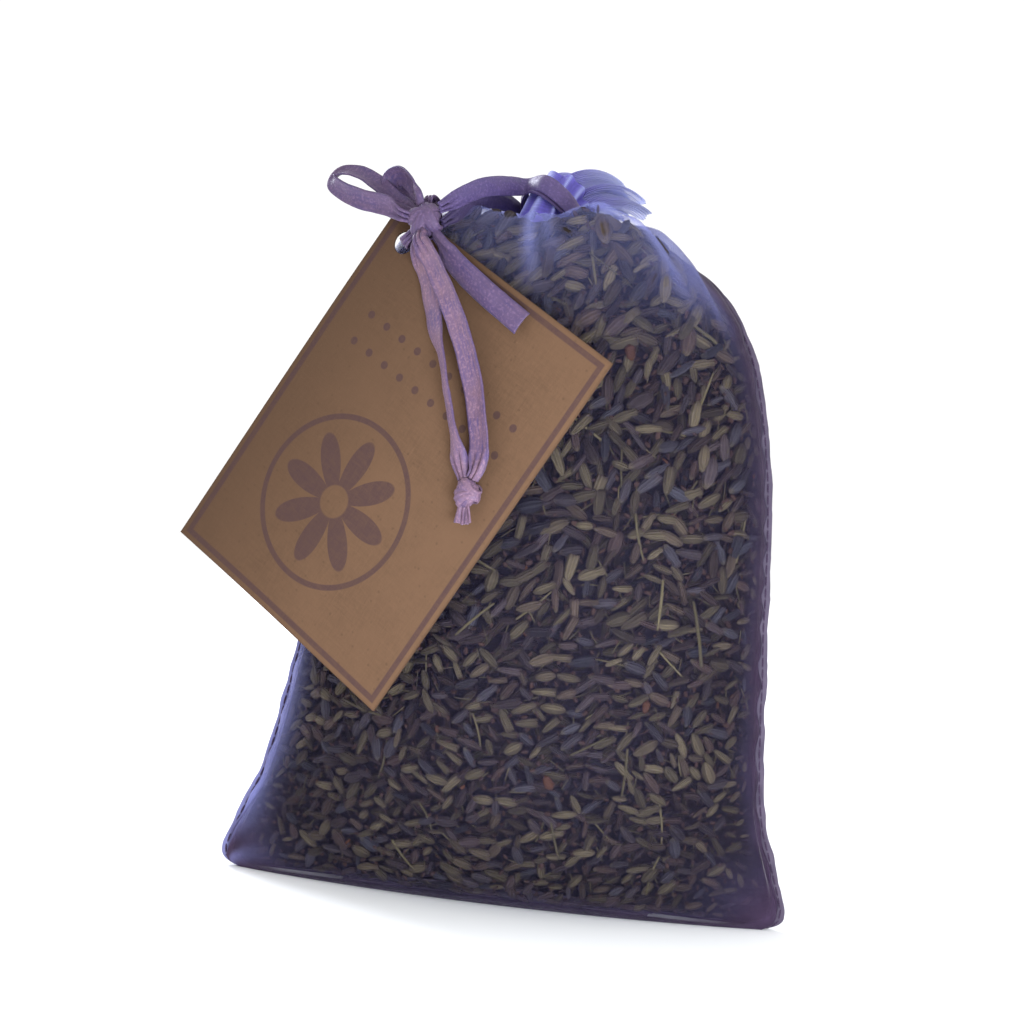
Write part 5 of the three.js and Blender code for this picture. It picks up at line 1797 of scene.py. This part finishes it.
class SACHET_OT_lavender(bpy.types.Operator):
    """Fill the bag with dried buds, stalks and crumbs"""
    bl_idname = "sachet.lavender"
    bl_label = "Lavender"

    # In millimetres: how much deeper things lie in the gathers, how deep at most below their layer, and how
    # deep stalks and petals that are placed one by one lie
    GATHER_INSET = -0.2
    SINK = 0.7
    MARKED_SINK = 0.7

    # How small things get at the sewn edges, and how many millimetres off the edges they are full size
    EDGE_ROOM = 0.55
    EDGE_DEPTH = 4.5

    # How closely headings follow each other, and how much smaller things are at the floor and darker there
    # with painted shade
    FLOW = 90.0
    TAPER_AND_SHADE = 0.3

    # Dry straw, dark crumbs and torn petals: two colours each
    STRAW = ((0.15, 0.12, 0.065), (0.085, 0.075, 0.035))
    CRUMB = ((0.070, 0.036, 0.025), (0.022, 0.013, 0.012))
    PETAL = ((0.15, 0.055, 0.018), (0.060, 0.028, 0.020))

    # What the photograph shows against the cloth: x and height in millimetres, turn from level, length
    STALKS = ((33, 49, 106, 11), (17.5, 30.1, 28, 6.5), (13, 101.9, -34, 6), (12.6, 13.5, 102, 7.5))
    PETALS = ((11.5, 23.6, -62, 3.0), (26, 37, 80, 2.4), (19, 92, 100, 3.2))

    def execute(self, context):
        lavender = context.scene.sachet_lavender
        core = self.core()
        finish_piece(core, "bag", "lavender", core_material(lavender), "lavender_fill")
        near = bud_material("dried_buds", lavender, 1.0)
        # Painted shade: the buds behind lie in a darker copy of the same finish
        deep = bud_material("shaded_buds", lavender, 0.4)
        straw = litter_material("dry_straw", *self.STRAW)
        crumb = litter_material("dark_crumbs", *self.CRUMB)
        petal = litter_material("torn_petals", *self.PETAL)
        buds = shape_collection("bud_shapes", self.bud_shapes())
        stalks = shape_collection("stalk_shapes", [
            spindle("stalk", STALK_RINGS, 5, bend=0.18),
            spindle("split_stalk", STALK_RINGS, 5, flatness=0.5, bend=-0.1)])
        crumbs = shape_collection("crumb_shapes", [
            spindle("crumb", CRUMB_RINGS, 5, flatness=0.5, rib=0.2),
            spindle("flake", CRUMB_RINGS, 6, flatness=0.16, bend=0.3)])

        # Each layer's shapes, inset in millimetres, spacing, share, length, lean, rise, disorder and finish
        outer, inner, bud = lavender.outer_spacing, lavender.inner_spacing, lavender.bud_length
        layers = (
            ("buds", buds, 1.3, outer, 1.0, bud, 0.2, 8.0, 0.9, near),
            ("inner_buds", buds, 3.0, inner, 1.0, bud, 0.4, 8.0, 1.2, deep),
            ("stalks", stalks, 1.1, 9 * MM, 0.3, 9 * MM, 0.05, 0.0, 1.6, straw),
            ("fibres", stalks, 1.3, 3.2 * MM, 0.8, 3.6 * MM, 0.3, 0.0, 1.6, straw),
            ("shreds", stalks, 1.3, 2.6 * MM, 0.9, 3.2 * MM, 0.3, 0.0, 1.6, crumb),
            ("crumbs", crumbs, 1.3, 1.4 * MM, 1.0, 1.6 * MM, 0.6, 0.0, 1.6, crumb),
            ("flakes", crumbs, 1.3, 9 * MM, 0.4, 1.9 * MM, 0.1, 0.0, 1.6, petal),
        )
        seed = lavender.seed
        for place, side in (("front", -1), ("back", 1)):
            for name, shapes, inset, spacing, share, length, lean, rise, disorder, finish in layers:
                seed += 10
                piece = self.guide(f"{place}_{name}", side, inset)
                grow(piece, scatter_tree(), {
                    "Shapes": shapes, "Spacing": spacing, "Share": share, "Length": length, "Lean": lean,
                    "Rise": rise, "Flow": self.FLOW, "Disorder": disorder, "Sink": self.SINK * MM,
                    "Taper": self.TAPER_AND_SHADE, "Seed": seed, "Finish": finish})
                finish_piece(piece, "bag", "lavender", finish)
        for shapes in (buds, stalks, crumbs):
            discard(shapes)
        for name, places, rings, flatness, finish in (
                ("front_marked_stalks", self.STALKS, STALK_RINGS, 1.0, straw),
                ("front_marked_petals", self.PETALS, CRUMB_RINGS, 0.3, petal)):
            finish_piece(self.marked(name, places, rings, flatness), "bag", "lavender", finish)
        return {'FINISHED'}

    def marked(self, name, places, rings, flatness):
        """Single stalks or petals that lie against the front at chosen places."""
        parts = []
        for x, height, turn, length in places:
            share, angle = bag_place(x, height)
            point = bag_surface(share, angle, -1)
            outward = bag_outward(share, angle, -1)
            along = np.array((math.cos(math.radians(turn)), 0, math.sin(math.radians(turn))))
            along = unit(along - outward * np.dot(along, outward))
            axes = np.stack([along, np.cross(outward, along), outward])
            vertices, faces, uv = spindle_parts(rings, 6, flatness, bend=0.15)
            laid = point - outward * self.MARKED_SINK + length * np.array(vertices) @ axes
            parts.append((laid * MM, faces, uv))
        return joined(name, parts)

    def bud_shapes(self):
        """A closed bud, an open calyx, one with its withered flower, a plump one and a flattened one."""
        closed = (
            (-0.5, 0), (-0.44, 0.085), (-0.26, 0.165), (0.02, 0.2), (0.28, 0.17), (0.44, 0.09), (0.5, 0))
        mouth = (
            (-0.5, 0), (-0.45, 0.07), (-0.24, 0.14), (0.05, 0.165), (0.36, 0.175), (0.46, 0.15), (0.36, 0))
        flower = (
            (-0.5, 0), (-0.45, 0.08), (-0.25, 0.16), (0.0, 0.17), (0.18, 0.12), (0.34, 0.15), (0.46, 0))
        plump = (
            (-0.46, 0), (-0.4, 0.1), (-0.2, 0.19), (0.05, 0.215), (0.28, 0.17), (0.42, 0.09), (0.46, 0))
        return [
            spindle("bud_closed", closed, 7, rib=0.05, bend=0.08),
            spindle("bud_open", mouth, 7, rib=0.07, bend=-0.05),
            spindle("bud_flower", flower, 7, rib=0.08, bend=0.1),
            spindle("bud_plump", plump, 7, rib=0.05),
            spindle("bud_flat", closed, 7, flatness=0.6, rib=0.06, bend=0.12),
        ]

    def inside(self, share, side, count, deepest, start, nearest, slope):
        """A row of points under a panel's cloth, from left to right.

        The wall's depth is how far it stands off the sewn edge. The row begins and ends where that is start,
        or nearer to the edge where the bag is thin. A point lies slope times the depth under the cloth, but
        not less than nearest or more than deepest.
        """
        half = 90
        angles = np.linspace(0, np.pi, 2 * half + 1)
        wall = bag_surface(np.full(2 * half + 1, share), angles, side)
        depth = np.abs(wall[:, 1] - wall[0, 1])
        edge = np.interp(min(start, depth[half] * 0.6), depth[:half + 1], angles[:half + 1])
        across = np.linspace(edge, np.pi - edge, count)
        level = np.full(count, share)
        inwards = np.clip(slope * np.interp(across, angles, depth), nearest, deepest)
        return bag_surface(level, across, side) - bag_outward(level, across, side) * inwards[:, None]

    def guide(self, name, side, inset, rows=60, columns=60):
        """A surface inside one panel, as far from the cloth as the buds need, with the room for them."""
        grid = np.zeros((rows, columns + 1, 3))
        for row, share in enumerate(np.linspace(0.03, 0.982, rows)):
            deepest = inset + self.GATHER_INSET * gathered(smooth_curve(BAG_OUTLINE, share)[2])
            grid[row] = self.inside(
                share, side, columns + 1, deepest, start=1.1 * inset, nearest=0.5 * inset, slope=0.2 * inset)
        grid[..., 2] = np.maximum(grid[..., 2], inset + 0.4)
        faces = []
        for row in range(rows - 1):
            for column in range(columns):
                a = row * (columns + 1) + column
                quad = (a, a + 1, a + columns + 2, a + columns + 1)
                faces.append(quad if side < 0 else quad[::-1])
        from_edge = np.abs(grid[..., 1] - grid[:, :1, 1])
        room = lerp(self.EDGE_ROOM, 1, smoothstep(from_edge, 0, self.EDGE_DEPTH))
        return new_piece(name, grid.reshape(-1, 3) * MM, faces, values={"room": room.ravel()})

    def core(self, rows=70, columns=70, inset=3.7):
        """The mass of buds behind the ones that show, as one rounded body."""
        rings = []
        for share in np.linspace(0.02, 0.99, rows):
            gather = gathered(smooth_curve(BAG_OUTLINE, share)[2])
            deepest = lerp(inset, 0.45 * inset, gather)
            ring = []
            for side in (-1, 1):
                half = self.inside(share, side, columns, deepest, start=0.5, nearest=0.7, slope=0.6)
                ring.extend(half[::-side])
            rings.append(ring)
        points = np.array(rings)
        points[..., 2] = np.maximum(points[..., 2], 1.2)
        low_tip, high_tip = points[[0, -1]].mean(axis=1)
        vertices = np.vstack([low_tip, points.reshape(-1, 3), high_tip])
        return new_piece("bud_mass", vertices * MM, ring_faces(rows, points.shape[1]))


class SACHET_OT_tag(bpy.types.Operator):
    """Cut and print the card tag"""
    bl_idname = "sachet.tag"
    bl_label = "Card tag"

    HOLE_INSET = 5 * MM
    HOLE_RADIUS = 1.9 * MM
    EDGE_WIDTH = 0.07 * MM
    BOW = 0.8 * MM

    def execute(self, context):
        tag = context.scene.sachet_tag
        finish_piece(self.card(tag), "tag", "card", card_material(tag), "paper_tag")
        return {'FINISHED'}

    def card(self, tag):
        """The card: a punched sheet with softened edges, of which one corner lifts a little."""
        left, top = -self.HOLE_INSET, self.HOLE_INSET
        right, bottom = left + tag.width, top - tag.height
        points, front = self.punched_sheet(tag, left, top)
        lift = self.lift(tag, points[:, 0] - left, top - points[:, 1])
        cos, sin = math.cos(tag.spin), math.sin(tag.spin)
        turned_x = points[:, 0] * cos + points[:, 1] * sin
        turned_y = points[:, 1] * cos - points[:, 0] * sin
        base = HOLE + turned_x[:, None] * TAG_ACROSS + turned_y[:, None] * TAG_UP + lift[:, None] * TAG_OUT
        layers = [base + TAG_OUT * tag.thickness / 2, base - TAG_OUT * tag.thickness / 2]
        count = len(points)
        back = [tuple(index + count for index in reversed(face)) for face in front]
        borders = {(a, b): None for face in front for a, b in zip(face, (*face[1:], face[0]))}
        walls = [(b, a, a + count, b + count) for a, b in borders if (b, a) not in borders]
        uv = points - np.array(((left + right) / 2, (top + bottom) / 2))
        piece = new_piece(
            "kraft_tag", np.concatenate(layers), [*front, *back, *walls], np.concatenate([uv, uv]),
            {"printed": np.repeat((1.0, 0.0), count)})
        edge = piece.modifiers.new("softened edge", 'BEVEL')
        edge.width = self.EDGE_WIDTH
        edge.segments = 2
        edge.limit_method = 'ANGLE'
        edge.angle_limit = math.radians(60)
        return piece

    def punched_sheet(self, tag, left, top, spacing=1.6 * MM, hole_sides=40):
        """Flat points of the card from the hole's middle, and triangles between them."""
        right, bottom = left + tag.width, top - tag.height
        across = np.linspace(left, right, round(tag.width / spacing) + 1)
        down = np.linspace(bottom, top, round(tag.height / spacing) + 1)
        border = [(x, bottom) for x in across[:-1]] + [(right, y) for y in down[:-1]]
        border += [(x, top) for x in across[:0:-1]] + [(left, y) for y in down[:0:-1]]
        turns = [2 * math.pi * index / hole_sides for index in range(hole_sides)]
        hole = [(self.HOLE_RADIUS * math.cos(turn), self.HOLE_RADIUS * math.sin(turn)) for turn in turns]
        clear = self.HOLE_RADIUS + spacing / 2
        inside = [(x, y) for x in across[1:-1] for y in down[1:-1] if math.hypot(x, y) > clear]
        flat = [Vector(point) for point in border + hole + inside]
        rims = [(i, (i + 1) % len(border)) for i in range(len(border))]
        rims += [(len(border) + i, len(border) + (i + 1) % hole_sides) for i in range(hole_sides)]
        points, _, triangles = delaunay_2d_cdt(flat, rims, [], 0, 1e-7)[:3]
        points = np.array([tuple(point) for point in points])
        kept = [
            tuple(face) for face in triangles
            if np.hypot(*points[list(face)].mean(axis=0)) > self.HOLE_RADIUS * 0.99
        ]
        return points, kept

    def lift(self, tag, x, y):
        """How far the card stands off its plane: a lifted lower left corner and a slight bow."""
        share_x, share_y = x / tag.width, y / tag.height
        corner = np.clip(share_y - share_x - 0.35, 0, 1) ** 2 / 0.42
        bow = self.BOW * np.sin(math.pi * share_y) * (1 - share_x)
        return tag.curl * corner + bow


PIECES = (SACHET_OT_stage, SACHET_OT_tails, SACHET_OT_bow, SACHET_OT_tie, SACHET_OT_cloth, SACHET_OT_seams,
          SACHET_OT_lavender, SACHET_OT_tag)


class SACHET_PT_sidebar(bpy.types.Panel):
    """Lists the sachet's settings and pieces"""
    bl_label = "Lavender Sachet"
    bl_idname = "SACHET_PT_sidebar"
    bl_space_type = 'VIEW_3D'
    bl_region_type = 'UI'
    bl_category = "Sachet"

    def draw(self, context):
        for attribute, group in SETTINGS:
            box = self.layout.box()
            box.label(text=group.__doc__)
            for label in group.__annotations__:
                box.prop(getattr(context.scene, attribute), label)
        for operator in PIECES:
            self.layout.operator(operator.bl_idname)


def register():
    for attribute, group in SETTINGS:
        bpy.utils.register_class(group)
        setattr(bpy.types.Scene, attribute, PointerProperty(type=group))
    for operator in PIECES:
        bpy.utils.register_class(operator)
    bpy.utils.register_class(SACHET_PT_sidebar)


def unregister():
    bpy.utils.unregister_class(SACHET_PT_sidebar)
    for operator in reversed(PIECES):
        bpy.utils.unregister_class(operator)
    for attribute, group in reversed(SETTINGS):
        delattr(bpy.types.Scene, attribute)
        bpy.utils.unregister_class(group)


def main():
    register()
    bpy.ops.sachet.stage()
    bpy.ops.sachet.tails()
    bpy.ops.sachet.bow()
    bpy.ops.sachet.tie()
    bpy.ops.sachet.cloth()
    bpy.ops.sachet.seams()
    bpy.ops.sachet.lavender()
    bpy.ops.sachet.tag()


if __name__ == "__main__":
    main()
